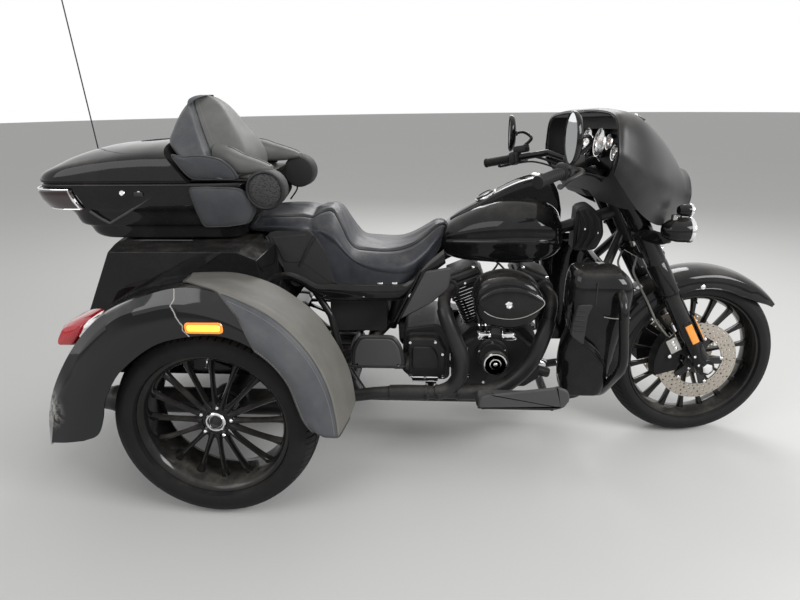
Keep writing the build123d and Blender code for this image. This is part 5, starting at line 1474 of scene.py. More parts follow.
# %% Fairing
# x, then y and height of: lower edge, widest point, shoulder, upper shoulder; height of the top
FAIRING = [(545, 374, 1046, 389, 1122, 350, 1202, 200, 1224, 1226),
           (572, 368, 1010, 388, 1112, 348, 1204, 200, 1228, 1231),
           (640, 344, 930, 366, 1072, 318, 1184, 180, 1216, 1222),
           (712, 286, 884, 318, 1034, 262, 1144, 150, 1180, 1190),
           (778, 206, 862, 252, 1000, 204, 1100, 116, 1132, 1140),
           (838, 126, 850, 180, 972, 148, 1052, 86, 1080, 1086),
           (890, 60, 848, 116, 948, 98, 1006, 58, 1030, 1036),
           (918, 24, 846, 94, 939, 78, 990, 46, 1018, 1028),
           (930, 20, 850, 89, 938, 72, 988, 42, 1014, 1025)]
rows = []
for x, y1, z1, y2, z2, y3, z3, y4, z4, z5 in FAIRING:
    half = [(x, y1, z1), (x, (y1 + y2) / 2 + 10, (z1 + z2) / 2), (x, y2, z2), (x, y3, z3), (x, y4, z4)]
    rows.append(other_side(half) + [(x, 0, z5)] + half[::-1])
skin = net(np.array(rows, float), 8, 8)
fairing = Shape()
fairing.shell(skin[::-1], 5, 0, 2)
fairing.tube(skin[0] + (2, 0, 0), 4, 8, 0)
ledge = skin[16, 26:55]
for side in (0, 1):
    fairing.tube(ledge + (side * 16, 0, 3 - side * 4), 3.2 - side, 8, 2)
for k in (3, 14, 25):
    fairing.revolve([(7, 0), (7, 3), (5, 5.5), (0, 6)], ledge[k] + (8, 0, 1), (-0.3, 0, 1), 20, 1)
build("fairing_skin", fairing, [dark_paint, chrome, satin_black], "steering",
      ["fairing_outer"], True)

# %% [markdown]
# ## Instruments
# Two large dials, four small ones beside them, a display below and a speaker at each side, all on the dash
# that closes the fairing towards the rider.

# %% Dash
def glass_face():
    """A dark gloss face: the display and the dials are switched off."""
    return Finish("dial_face", base_color=(0.012, 0.013, 0.015), roughness=0.05, coat_weight=1.0).material


dial_face = glass_face()
pale_mark = Finish("dial_marks", base_color=(0.55, 0.56, 0.54), roughness=0.5).material
BACKWARD = (-1, 0, 0.14)
dash = Shape()
for y, z, r in ((-62, 1124, 50), (62, 1124, 50), (-150, 1128, 27), (150, 1128, 27), (-205, 1096, 27),
                (205, 1096, 27)):
    dash.revolve([(r * 0.8, -14), (r, -12), (r + 1, 6), (r - 2, 10), (r - 5, 9), (r - 6, 3)], (612, y, z),
                 BACKWARD, 40, 2)
    dash.revolve([(r - 5.5, 2), (0, 2.2)], (612, y, z), BACKWARD, 40, 3)
    tick = Shape()
    tick.block((609.2, y, z + r - 12), (1.2, 1.4, 6), 0.4, None, 4, 1)
    dash.join(tick.repeat(spun(np.linspace(-2.2, 2.2, 13), (609, y, z), BACKWARD)))
    # The needle, mark 5, is amber with a painted glow.
    tick = Shape()
    tick.block((608.6, y, z + r * 0.3), (1.2, 1.8, r * 0.62), 0.4, None, 5, 1)
    dash.join(tick.repeat(spun([1.7], (609, y, z), BACKWARD)))
dash.block((612, 0, 1012), (14, 190, 84), 6, None, 2)
dash.block((604.5, 0, 1014), (2, 160, 62), 0.8, None, 3)
for k in range(5):
    dash.block((603.5, -64 + 32 * k, 974), (5, 22, 9), 2, None, 0)
for y in (-258, 258):
    dash.revolve([(40, -20), (56, -12), (60, -2), (57, 3), (52, 1)], (604, y, 1050), (-1, 0, 0), 48, 0)
    dash.revolve([(53, 0), (40, 4), (20, 7), (0, 8)], (604, y, 1050), (-1, 0, 0), 48, 6)
build("dash_instruments", dash,
      [matte_black, satin_black, chrome, dial_face, pale_mark, amber_painted_glow, grille],
      "steering", steered=True)
softened("fairing_inner", 5)

# %% [markdown]
# ## Front lamps and fender
# The headlamp fills the fairing's mouth. A spot lamp hangs at each side on a leaf-shaped arm, with a small
# turn signal above it. The fender is an arc over the tyre whose sides grow shallow towards its tip.

# %% Front lamps
lamps = Shape()
HEADLAMP_AT = (912, 0, 938)
DRUM = [(40, -60), (70, -44), (84, -6), (88, 10), (87, 17), (82, 20), (78, 16)]
lamps.revolve(DRUM, HEADLAMP_AT, (1, 0, 0), 64, 1)
lamps.revolve([(79.5, 10), (79, 16), (60, 23), (30, 28), (0, 30)], HEADLAMP_AT, (1, 0, 0), 64, 2)
for turn in (-0.4, 0, 0.4):
    lamps.block((912, 0, 938 + 70 * turn), (10, 60, 14), 4, None, 1)
SIGNAL_AT = (848, -222, 912)
SPOT_AT = (828, -214, 846)
sides = Shape()
sides.revolve([(6, -46), (20, -40), (33, -22), (40, 4), (42, 30), (41, 44)], SPOT_AT, (1, 0, 0), 48, 0)
sides.revolve([(41, 38), (43, 42), (43, 50), (40, 53), (37, 50)], SPOT_AT, (1, 0, 0), 48, 1, True)
sides.revolve([(38, 46), (28, 51), (0, 54)], SPOT_AT, (1, 0, 0), 48, 2)
sides.revolve([(3, -24), (14, -20), (19, -8), (20.5, 8), (20, 18)], SIGNAL_AT, (1, 0, 0), 36, 0)
sides.revolve([(20, 15), (21.5, 18), (21, 23), (18.5, 24)], SIGNAL_AT, (1, 0, 0), 36, 1, True)
sides.revolve([(18.8, 20), (12, 25), (0, 27)], SIGNAL_AT, (1, 0, 0), 36, 3)
leaf = spline(np.array([[(716, -128, 818), (716, -128, 836), (716, -134, 818)],
                        [(760, -172, 800), (762, -190, 842), (764, -182, 806)],
                        [(806, -206, 804), (812, -222, 838), (812, -216, 808)],
                        [(836, -212, 884), (838, -226, 896), (842, -220, 884)]], float), 8)
leaf = spline(leaf.swapaxes(0, 1), 6, True).swapaxes(0, 1)
sides.solid(leaf)
sides.revolve([(9, -6), (11, -4), (11, 12), (8, 14)], (822, -214, 884), (0, 0, 1), 24, 1)
lamps.join(both_sides(sides))
lamps.tube(smooth([(742, -150, 812), (812, -196, 806), (836, -140, 806), (840, 0, 806), (836, 140, 806),
                   (812, 196, 806), (742, 150, 812)], 80), 9, 14)
lamps.tube([(735, 0, 742), (790, 0, 770), (836, 0, 806)], 12, 14)
lamps.tube([(735, 0, 742), (800, 0, 810), (862, 0, 900)], 11, 14)
build("front_lamp_set", lamps, [gloss_black, chrome, clear_lens, amber_painted_glow], "steering",
      ["front_lamps"], True)

# %% Front fender
turn = np.radians(np.linspace(190, 37, 90))[:, None]
section = smooth([(-82, 0), (-84, 14), (-83, 32), (-78, 50), (-64, 62), (-40, 70), (0, 73.5), (40, 70),
                  (64, 62), (78, 50), (83, 32), (84, 14), (82, 0)], 41)
foot = np.interp(np.degrees(turn[::-1, 0]), [37, 48, 62, 150, 178, 190],
                 [338, 306, 285, 284, 292, 312])[::-1, None]
pinch = np.interp(np.degrees(turn[::-1, 0]), [37, 44, 56, 180, 190], [0.72, 0.88, 1, 1, 0.9])[::-1, None]
radius = foot + (357.5 - foot) * section[None, :, 1] / 73.5
skin = np.stack([FRONT_AXLE[0] + radius * np.cos(turn), section[None, :, 0] * pinch,
                 FRONT_AXLE[2] + radius * np.sin(turn)], axis=-1)
fender = Shape()
fender.shell(skin, 4, 0, 1)
for edge in (skin[:, 0], skin[:, -1]):
    fender.tube(edge, 3, 8)
tilt = np.array([(LEAN_SIN, 0, -LEAN_COS), (0, 1, 0), (LEAN_COS, 0, LEAN_SIN)])
for side in (-1, 1):
    fender.block((898, side * 84, 575), (50, 13, 46), 5, tilt)
    for lift in (-15, 15):
        fender.revolve([(8, 0), (8, 3), (6, 6), (0, 6.5)], (898 + lift * 0.8, side * 90, 576 + lift * 0.6),
                       (0, side, 0), 20, 2)
    fender.revolve([(9, 0), (9, 3), (6, 5), (0, 5.5)], (1024, side * 81, 610), (0, side, 0.1), 20, 2)
build("fender_front", fender, [dark_paint, satin_black, chrome], "steering",
      ["front_fender"], True)

# %% [markdown]
# ## Fork, bars and mirrors
# Each leg is turned on a lathe along its own line: slider, seal, cover and cap. The grips are ribbed
# rubber, the switch housings are clamped round the bar, and each mirror is an oval bowl with its glass let
# in.

# %% Fork
LEG_Y = 120


def leg_x(z):
    """How far forward the fork's middle line is at a height: it leans back from the axle."""
    return FRONT_AXLE[0] - (z - FRONT_AXLE[2]) * tan(FORK_LEAN)


def leg(z, side=-1, ahead=0, out=0):
    """A point on a fork leg's middle line at a height, moved ahead of it and outwards."""
    return np.array((leg_x(z) + ahead * LEAN_COS, side * (LEG_Y + out), z + ahead * LEAN_SIN))


UP_LEG = unit(leg(900) - leg(300))
LEG = [(18, -8), (27, -4), (31, 6), (31, 60), (29, 66), (29, 150), (32, 160), (32, 330), (34, 333),
       (34, 344), (30, 347), (30, 352), (36, 354), (36, 470), (34.5, 473), (34.5, 480), (36, 483),
       (36, 600), (37, 604), (37, 742), (30, 750), (24, 752), (24, 757), (0, 757)]
fork = Shape()
for side in (-1, 1):
    fork.revolve(LEG, leg(300, side), UP_LEG, 40)
    axle_end = (FRONT_AXLE[0], side * 146, FRONT_AXLE[2])
    fork.revolve([(16, 0), (20, 2), (20, 14), (15, 18), (0, 19)], axle_end, (0, side, 0), 6, 1)
    fork.revolve([(12, -14), (26, -12), (30, 0), (30, 3), (26, 5)], axle_end, (0, side, 0), 32)
    for z in (338, 372):
        fork.revolve([(5, 0), (5, 5), (4, 6), (0, 6)], leg(z, side, -20, 24), (0, side, 0), 12, 1)
    for z in (742, 948):
        fork.revolve([(6, 0), (6, 5), (4, 7), (0, 7)], leg(z, side, 42, -20), (1, 0, 0), 12, 1)
    frame_rows = np.array([(LEAN_COS, 0, LEAN_SIN), (0, 1, 0), UP_LEG])
    # Each leg carries a reflector on its front and one on its side, marks 3, amber with a painted glow.
    fork.block(leg(452, side, 33, 8), (9, 26, 118), 4, frame_rows, 0)
    fork.block(leg(452, side, 37, 10), (6, 20, 104), 3, frame_rows, 3)
    fork.block(leg(452, side, 2, 31), (34, 6, 90), 3, frame_rows, 0)
    fork.block(leg(452, side, 2, 34), (26, 5, 78), 2.4, frame_rows, 3)
for z in (742, 948):
    fork.block((leg_x(z), 0, z), (92, 250, 31), 12)
fork.revolve([(15, 0), (15, 275)], (1150 - 722 * tan(HEAD_LEAN), 0, 722),
             (-sin(HEAD_LEAN), 0, cos(HEAD_LEAN)), 24, 2)
fork.revolve([(12.5, -146), (12.5, 146)], FRONT_AXLE, (0, 1, 0), 24, 1)
build("fork", fork, [gloss_black, chrome, dull_steel, amber_painted_glow], "steering",
      ["front_fork"], True)

softened("brake_calipers", 5)
plates = Shape()
for side in (-1, 1):
    for z, out_r in ((400, 132), (436, 120), (352, 128)):
        at = np.array((FRONT_AXLE[0] - out_r * cos(radians(29 + (z - 395) * 0.32)), side * 106, z))
        plates.revolve([(9, 0), (9, 4), (6.5, 8), (0, 8.5)], at, (0, side, 0), 6, 1)
    plates.block((930, side * 106, 394), (58, 7, 44), 3, tilt, 2)
    for lift in (-14, 14):
        plates.revolve([(7, 0), (7, 4), (5, 5.5), (0, 6)], (930 + lift * 0.5, side * 109, 394 - lift * 0.8),
                       (0, side, 0), 16, 1)
build("caliper_bolts", plates, [engine_black, chrome, dull_steel], "steering", steered=True)

# %% Handlebar ends
controls = Shape()
END, START = np.array((306.0, -432.0, 1030.0)), np.array((404.0, -350.0, 1052.0))
BAR = unit(START - END)
bar_axes = np.array([BAR, unit(np.cross((0, 0, 1), BAR)), np.cross(BAR, unit(np.cross((0, 0, 1), BAR)))])
length = np.linalg.norm(START - END)
rib_at = np.linspace(4, length * 0.84, 45)
rib_r = 17 + 1.1 * np.sin(np.arange(45) * pi / 2)
grip = np.vstack([[(13.4, -4)], [(19, -3)], [(19, 2)], np.stack([rib_r, rib_at], axis=1),
                  [(20, length * 0.85)], [(20, length * 0.87)], [(13.4, length * 0.87)]])
controls.revolve(grip, END, BAR, 36, 1)
controls.block(END + BAR * length, (length * 0.24, 50, 54), 13, bar_axes)
controls.block(END + BAR * length - bar_axes[1] * 20, (16, 22, 20), 4, bar_axes)
controls.block(END + BAR * length * 1.14, (18, 42, 44), 8, bar_axes)
for a, b in ((0.94, -10), (0.94, 10), (1.03, 0)):
    controls.block(END + BAR * length * a - bar_axes[1] * 26 + bar_axes[2] * b, (8, 8, 9), 2, bar_axes, 2)
cup = END + BAR * length * 1.06 + (22, 0, 34)
controls.block(cup, (58, 44, 26), 8, bar_axes)
controls.block(cup + (0, 0, 13), (52, 38, 5), 2, bar_axes)
for a in (-20, 20):
    controls.revolve([(3, 0), (3, 2), (0, 2.4)], cup + bar_axes[0] * a + (0, 0, 15), (0, 0, 1), 12, 2)
root = END + BAR * length * 1.06 + (34, 0, 0)
lever = smooth([END + BAR * length * 1.06, root, root + (8, -14, -6), (404, -392, 1028),
                (372, -436, 1016), (364, -448, 1018)], 50)
lever_r = np.interp(np.linspace(0, 1, 50), [0, 0.3, 0.5, 0.93, 1], [12, 11, 6.5, 6, 8.5])
controls.tube(lever, lever_r, 12, 2)
controls.tube(smooth([END + BAR * length * 1.14, (470, -300, 1062), (560, -236, 1030), (640, -120, 960)],
                     60), 5, 8, 1)
controls.tube(smooth([END + BAR * length + (0, 4, -20), (480, -306, 1040), (560, -230, 1012),
                      (630, -110, 950)], 60),
              3.6, 8, 1)
build("bar_ends", both_sides(controls), [matte_black, soft_rubber, satin_black], "steering",
      ["hand_controls"], True)

mirror = Shape()
around = whole_turn(56)
BOWL = [(0.25, 15), (0.6, 13.5), (0.86, 8), (0.98, 0), (1.0, -6), (0.99, -11), (0.95, -13), (0.93, -10)]
out_y, back_x = np.array((0.12, -1, 0)) / 1.007, np.array((1, 0.12, 0)) / 1.007


def oval(share, depth):
    return ((407, -415, 1150) + back_x * depth + np.cos(around)[:, None] * 46 * share * out_y
            + np.sin(around)[:, None] * np.array((0, 0, 74 * share)))


rows = np.array([oval(*row) for row in BOWL])
mirror.grid(rows, 1, False, True)
mirror.cap(rows[0], 1)
glass = np.array([oval(0.94, -10.2), oval(0.6, -10.6), oval(0.2, -10.8)])
mirror.grid(glass, 0, False, True)
mirror.cap(glass[-1], 0)
mirror.revolve([(11, -8), (12, 0), (9, 8)], (421, -414, 1150), (1, 0.1, 0), 24, 1)
mirror.tube(smooth([(436, -346, 1090), (448, -350, 1104), (474, -358, 1132), (452, -396, 1154),
                    (420, -414, 1151)], 40),
            np.linspace(7.5, 5.5, 40), 12, 1)
mirror.revolve([(12, -6), (12, 6), (9, 9)], (436, -346, 1088), (0, 0, 1), 24, 1)
build("mirror_pair", both_sides(mirror), [mirror_face, gloss_black], "steering",
      ["mirrors"], True)

# %% [markdown]
# ## Tank
# The tank is a net of sections from rear to front, with a soft crease along its side. The console on its
# top widens and climbs towards the bars; the filler is let into it.

# %% Tank and console
# x, half width, height of: bottom, side crease, top
TANK = [(64, 44, 752, 780, 804), (78, 70, 736, 782, 824), (120, 98, 722, 788, 860),
        (170, 122, 716, 794, 890), (235, 148, 716, 800, 922), (300, 166, 716, 806, 940),
        (370, 171, 718, 808, 945), (430, 163, 724, 806, 934), (476, 136, 736, 804, 900),
        (502, 98, 750, 804, 860), (511, 60, 762, 804, 836)]
rows = []
for x, w, low, mid, top in TANK:
    half = [(0, low), (0.6 * w, low), (0.9 * w, low + 14), (0.985 * w, mid - 22), (w + 1.5, mid - 3),
            (0.985 * w, mid + 8), (0.94 * w, mid + 0.5 * (top - mid)), (0.62 * w, top - 0.1 * (top - mid)),
            (0, top)]
    rows.append([(x, -y, z) for y, z in half] + [(x, y, z) for y, z in half[-2:0:-1]])
skin = net(np.array(rows), 6, 5, False, True)
tank = Shape()
tank.solid(skin)
build("tank_body", tank, [dark_paint], "chassis", ["fuel_tank"])

CONSOLE = [(108, 16, 850, 858), (150, 32, 868, 888), (225, 44, 900, 932), (300, 52, 915, 974),
           (360, 56, 925, 1000), (410, 58, 925, 1012), (455, 57, 915, 1006), (486, 50, 890, 966),
           (504, 40, 850, 900)]
rows = []
for x, w, low, top in CONSOLE:
    half = [(x, w * 1.02, low - 20), (x, w * 1.04, low + 4), (x, w, top - 14), (x, w * 0.84, top - 3)]
    rows.append(other_side(half) + [(x, 0, top)] + half[::-1] + [(x, 0, low - 24)])
skin = net(np.array(rows, float), 6, 4, False, True)
console = Shape()
console.solid(skin)
for side in (-1, 1):
    console.tube(smooth([(x, side * w * 1.03, low + 2) for x, w, low, top in CONSOLE[1:]], 80), 2.2, 8, 1)
FILLER_AT = (238, 0, 936)
tip = np.array((-sin(radians(28)), 0, cos(radians(28))))
console.revolve([(41, -6), (42, 4), (40, 7), (37, 7)], FILLER_AT, tip, 48, 1)
console.revolve([(36, 0), (36, 9), (33, 12), (26, 13), (25, 11), (0, 11)], FILLER_AT, tip, 48, 0)
console.revolve([(20, 0), (24, 3), (22, 8), (18, 10), (0, 10)], (420, 0, 1008), (0.12, 0, 1), 40, 1)
console.revolve([(6, 0), (6, 4), (4, 6), (0, 6)], (300, -40, 962), (-0.5, -0.3, 1), 20, 2)
build("tank_dash", console, [gloss_black, chrome, amber_lens], "chassis", ["tank_console"])

# %% [markdown]
# ## Engine
# One fin is a rounded square plate; a stack of them on a barrel makes a cylinder, with the head's deeper
# fins and the two tiers of the rocker cover above. The front cylinder is the rear one turned about the
# crank.

# %% Cylinders
CRANK = (285, 0, 340)
CYLINDER_LEAN = 22.5


def vee(side):
    """The matrix that turns an upright piece about the crank onto one cylinder's line."""
    a = side * radians(CYLINDER_LEAN)
    return np.array([(cos(a), 0, sin(a), CRANK[0]), (0, 1, 0, 0), (-sin(a), 0, cos(a), CRANK[2]),
                     (0, 0, 0, 1)])


def square(half_x, half_y, radius):
    return rounded([(-half_x, -half_y), (half_x, -half_y), (half_x, half_y), (-half_x, half_y)], radius, 7)


upright = Shape()
for k in range(10):
    upright.plate(square(68, 68, 40), 134 + 12 * k, 138.5 + 12 * k, 1.2, 0, 2)
    edge = np.insert(square(67.7, 67.7, 40), 2, 136.2 + 12 * k, axis=1)
    upright.tube(edge, 1.5, 6, 1, True)
for k in range(4):
    upright.plate(square(72, 74, 22), 254 + 13 * k, 259.5 + 13 * k, 1.2, 0, 2)
    edge = np.insert(square(71.7, 73.7, 22), 2, 256.8 + 13 * k, axis=1)
    upright.tube(edge, 1.4, 6, 1, True)
upright.revolve([(56, 118), (56, 300)], (0, 0, 0), (0, 0, 1), 48)
upright.plate(square(64, 68, 18), 250, 308, 2, 0, 2)
upright.plate(square(72, 86, 16), 306, 322, 3, 2, 2)
upright.plate(square(66, 82, 16), 324, 352, 7, 2, 2)
upright.plate(square(54, 70, 12), 350, 362, 4, 2, 2)
for x in (-48, 48):
    for y in (-68, 68):
        upright.revolve([(8, 350), (8, 357), (6, 360), (4, 360), (3.5, 357), (0, 357)], (x, y, 0),
                        (0, 0, 1), 16, 3)
for x in (-50, 0, 50):
    for y in (-1, 1):
        upright.revolve([(6, 84), (6, 89), (4, 92), (0, 92)], (x, 0, 314), (0, y, 0), 16, 3)
cylinders = Shape()
for side in (-1, 1):
    one = Shape().join(upright)
    cylinders.join(one.repeat([vee(side)]))
build("cylinder_pair", cylinders, [engine_black, chrome, satin_black, chrome], "chassis",
      ["cylinders"])

# %% Engine covers
SOCKET_HEAD = [(7, 0), (7, 4), (5, 7), (4, 7), (4, 4), (0, 4)]
softened("crankcase", 7)
softened("gearbox", 7)
softened("primary_cover", 6)
CAP_LINE = (264, -184, 392), (0, -1, 0)
engine = Shape()
for side, x in ((-1, 235), (1, 320)):
    engine.block((x, -172, 458), (52, 40, 32), 8, None, 1)
    for k in (-1, 1):
        foot = np.array((x + k * 12, -150, 470))
        head = (vee(side) @ np.array((-side * 30 + k * 14, -66, 262, 1)))[:3]
        engine.tube(np.linspace(foot, head, 12), 9, 16, 0)
        for share in (0.08, 0.5, 0.92):
            engine.tube(np.linspace(foot + (head - foot) * share, foot + (head - foot) * (share + 0.05), 3),
                        12, 16, 1)
        engine.revolve([(5, 0), (5, 5), (0, 6)], (x + k * 19, -192, 458), (0, -1, 0), 12, 1)
    cable = [(vee(side) @ np.array((side * 10, -70, 290, 1)))[:3], (285 + side * 50, -120, 660),
             (285, -60, 700), (250, -20, 705)]
    engine.tube(smooth(cable, 40), 3.6, 8, 0)
engine.revolve([(58, 0), (58, 10), (54, 14), (40, 15)], *CAP_LINE, 56, 0)
engine.revolve([(40, 12), (41, 18), (36, 21), (33, 18), (33, 13)], *CAP_LINE, 56, 1, True)
engine.revolve([(33, 12), (30, 17), (0, 19)], *CAP_LINE, 56, 0)
for a in np.radians([20, 92, 164, 236, 308]):
    engine.revolve([(4, 14), (4, 17), (0, 18)], (264 + 48 * cos(a), -184, 392 + 48 * sin(a)), (0, -1, 0),
                   10, 1)
for x, z in ((180, 300), (172, 408), (232, 452), (345, 452), (406, 396), (398, 312), (326, 274),
             (236, 276)):
    engine.revolve(SOCKET_HEAD, (x, -185, z), (0, -1, 0), 16, 1)
for x, z in ((-34, 300), (-34, 436), (58, 438), (84, 390), (84, 300), (20, 294)):
    engine.revolve(SOCKET_HEAD, (x, -195, z), (0, -1, 0), 16, 1)
GEAR_COVER = [(-28, 330), (-28, 420), (50, 420), (70, 380), (70, 330)]
engine.plate(closed_line(GEAR_COVER, 18, 60), -204, -192, 4, 2)
engine.block((20, -196, 288), (100, 10, 22), 4, None, 1)
for x, z in ((-70, 310), (-76, 396), (-10, 436), (120, 440), (230, 440), (318, 426), (372, 358), (340, 276),
             (200, 256), (60, 258)):
    engine.revolve(SOCKET_HEAD, (x, 206, z), (0, 1, 0), 16, 1)
engine.revolve([(78, 0), (78, 8), (70, 13), (0, 16)], (70, 208, 352), (0, 1, 0), 60, 0)
engine.revolve([(76, 9), (77, 12), (73, 14), (72, 11)], (70, 208, 352), (0, 1, 0), 60, 1, True)
engine.revolve([(52, 0), (52, 8), (46, 12), (0, 14)], (286, 208, 352), (0, 1, 0), 60, 0)
for k, y in enumerate((-41.6, 41.6)):
    engine.revolve([(20, 0), (20, 60), (16, 66), (0, 66)], (440, y, 262), (1, 0, -0.25), 32, k)
for profile, mark in (([(44, -14), (46, 0), (42, 5), (36, 6), (0, 6)], 0),
                      ([(42, 5), (40, 9), (36, 9), (35, 6)], 1), ([(22, 6), (20, 9), (17, 9), (16, 6)], 1),
                      ([(7, 6), (7, 10), (4, 12), (0, 12)], 1)):
    engine.revolve(profile, (267, -292, 400), (0, -1, 0), 48, mark)
build("engine_trim", engine, [satin_black, chrome, engine_black], "chassis")

neck = Shape()
SIDE = [(556, 742), (560, 900), (604, 912), (652, 868), (664, 800), (640, 744)]
neck.plate(closed_line(SIDE, 16, 60), -46, 46, 10, 0)
for k, x in enumerate((580, 604, 628)):
    neck.tube(smooth([(x - 24, -50, 890), (x, -54, 850), (x + 4, -54, 800), (x - 20, -50, 752)], 24),
              4.5, 8, 1)
for place in ((590, -50, 826), (636, -50, 812)):
    neck.revolve([(7, -6), (7, 4), (4, 7), (0, 7)], place, (0, -1, 0), 6, 2)
build("neck_cover", neck, [matte_black, soft_rubber, chrome], "chassis")

AIR = [(184, 640), (206, 700), (260, 724), (318, 725), (380, 700), (412, 648), (398, 590), (348, 550),
       (276, 545), (212, 572)]
line = smooth(AIR, 96, True)
middle = line.mean(axis=0)
LEVELS = [(-216, 0.84), (-222, 0.95), (-240, 0.985), (-296, 1.0), (-316, 0.995), (-330, 0.96), (-338, 0.88),
          (-342, 0.74), (-343, 0.4)]
air = Shape()
rings_air = np.stack([np.insert(middle + (line - middle) * s, 1, y, axis=1) for y, s in LEVELS])
skin = spline(rings_air, 4)
air.solid(skin)
air.tube(np.insert(middle + (line - middle) * 0.99, 1, -238, axis=1), 3.2, 8, 2, True)
FACE = [(196, 644), (236, 684), (300, 697), (364, 684), (412, 644), (364, 602), (300, 588), (236, 602)]
line = smooth(FACE, 96, True)
middle = line.mean(axis=0)
FACE_LEVELS = [(-330, 1.0), (-344, 1.0), (-350, 0.96), (-353, 0.8), (-355, 0.4)]
raised = np.stack([np.insert(middle + (line - middle) * s, 1, y, axis=1) for y, s in FACE_LEVELS])
air.solid(spline(raised, 4))
air.tube(np.insert(line[40:90], 1, -347, axis=1), 1.8, 8, 3)
air.revolve([(13, -4), (14, 2), (10, 6), (6, 6), (5, 3), (0, 3)], (297, -353, 638), (0, -1, 0), 6, 1)
air.revolve([(34, 0), (34, 218)], (285, -2, 606), (0.01, -1, 0.055), 32, 2)
build("air_cleaner_cover", air, [gloss_black, chrome, satin_black, dull_steel], "chassis",
      ["air_cleaner"])

# %% [markdown]
# ## Exhaust
# Each pipe follows its own line with rounded bends. A heat shield lies over its outer side, held by clamps,
# and the long silencers end in a rolled tip.

# %% Exhaust
REAR_PIPE = [(112, -95, 610), (84, -196, 606), (92, -262, 560), (166, -262, 380), (112, -262, 266),
             (-120, -262, 266), (-330, -250, 230), (-440, -262, 215)]
FRONT_PIPE = [(452, -95, 612), (470, -190, 606), (440, -262, 520), (395, -262, 380), (280, -262, 272),
              (60, -262, 266)]
CROSS_PIPE = [(-220, -262, 250), (-262, -150, 240), (-262, 170, 240), (-330, 250, 225), (-440, 262, 215)]
pipes = Shape()
for points, r in ((REAR_PIPE, 23), (FRONT_PIPE, 22), (CROSS_PIPE, 22)):
    pipes.tube(even(rounded(points, 70, 9, False), 160), r, 24)


def shielded(points, start, stop, clamps):
    """A sleeve over part of a pipe, with a clamp and its screw at some places along it."""
    line = even(rounded(points, 70, 9, False), 400)
    part = line[int(400 * start):int(400 * stop)]
    r = 27.5 + 0 * part[:, 0]
    r[:3], r[-3:] = 24, 24
    pipes.tube(part, r, 32, 0)
    for share in clamps:
        at = int(400 * share)
        pipes.tube(line[at:at + 4] if at < 396 else line[-4:], 29.5, 32, 1)
        side = unit(np.cross(line[at + 3] - line[at], (0, 1, 0)))
        pipes.block(line[at] - (0, 29, 0), (16, 10, 12), 2.5, None, 1)
        pipes.revolve([(5, -9), (5, 9)], line[at] - (0, 31, 0), side, 12, 1)


shielded(REAR_PIPE, 0.14, 0.52, (0.50,))
shielded(REAR_PIPE, 0.53, 0.68, (0.54,))
shielded(FRONT_PIPE, 0.24, 0.90, (0.88,))
for at, way in (((112, -95, 610), (-0.3, -1, 0)), ((452, -95, 612), (0.2, -1, 0))):
    pipes.revolve([(28, -6), (34, -4), (34, 6), (28, 9)], at, way, 32, 1)
build("exhaust_lines", pipes, [satin_black, engine_black], "chassis", ["exhaust_pipes"])

CAN_LINE = (-440, -262, 215), (-1, 0, 0.006)
cans = Shape()
CAN = [(25, 0), (30, 4), (47, 34), (49, 44), (48, 50), (48, 690), (49, 696), (49, 706), (46, 716),
       (42, 742), (40, 750), (40, 818), (42, 824), (40, 828), (36, 826), (36, 700), (0, 700)]
cans.revolve(CAN, *CAN_LINE, 48)
for d in (60, 676):
    cans.revolve([(48, d), (50.5, d), (50.5, d + 12), (48, d + 12)], *CAN_LINE, 48, 1, True)
build("silencers", both_sides(cans), [satin_black, engine_black], "chassis", ["mufflers"])

# %% [markdown]
# ## Leg fairings, boards and guard
# The leg fairing is a rounded scoop in front of each leg: its outer wall is bowed and its window lets air
# through to the engine. Boards are plates with a ribbed rubber pad on top.

# %% Leg fairings
# height; x of the rear and front; y of the outer and inner wall; corner radius
SCOOP = [(286, 512, 628, 296, 214, 30), (290, 502, 640, 304, 208, 34), (330, 492, 652, 308, 206, 38),
       (400, 487, 664, 310, 206, 40), (462, 492, 676, 312, 206, 42), (520, 506, 686, 322, 206, 46),
       (570, 500, 694, 338, 206, 50), (620, 492, 700, 350, 206, 54), (680, 492, 704, 352, 206, 58),
       (716, 496, 690, 346, 208, 54), (738, 502, 668, 334, 212, 48), (748, 512, 650, 318, 218, 42),
       (751, 532, 632, 298, 226, 32)]
stack = []
for z, x0, x1, y0, y1, radius in SCOOP:
    flat = corner_ring([(x1, -y1), (x0, -y1), (x0, -y0), (x1, -y0)], radius, 8, 96)
    stack.append(np.insert(flat, 2, z, axis=1))
legs = Shape()
legs.solid(spline(np.array(stack), 5))
lip = smooth([(494, -340, 640), (491, -338, 596), (512, -332, 536), (548, -330, 502), (586, -326, 470),
              (612, -322, 436), (630, -314, 408)], 60)
lip_r = np.interp(np.linspace(0, 1, 60), [0, 0.1, 0.8, 1], [2, 7, 6, 2])
for lift in (0, 5):
    legs.tube(lip + (lift, -2, lift), lip_r, 10)
WINDOW = [(518, 642), (568, 643), (552, 606), (546, 500), (502, 534), (506, 586)]
legs.plate(closed_line(WINDOW, 12, 60), -357, -330, 3, 1)
for k in range(5):
    legs.block((527, -358, 622 - k * 17), (30, 3, 5), 1.4, None, 2)
legs.tube([(574, -352, 716), (574, -353, 640)], 1.6, 8, 1)
legs.tube(smooth([(604, -350, 600), (640, -350, 594), (690, -346, 596)], 20), 1.8, 8, 3)
build("leg_scoops", both_sides(legs), [dark_paint, matte_black, satin_black, dull_steel], "chassis",
      ["leg_fairings"])

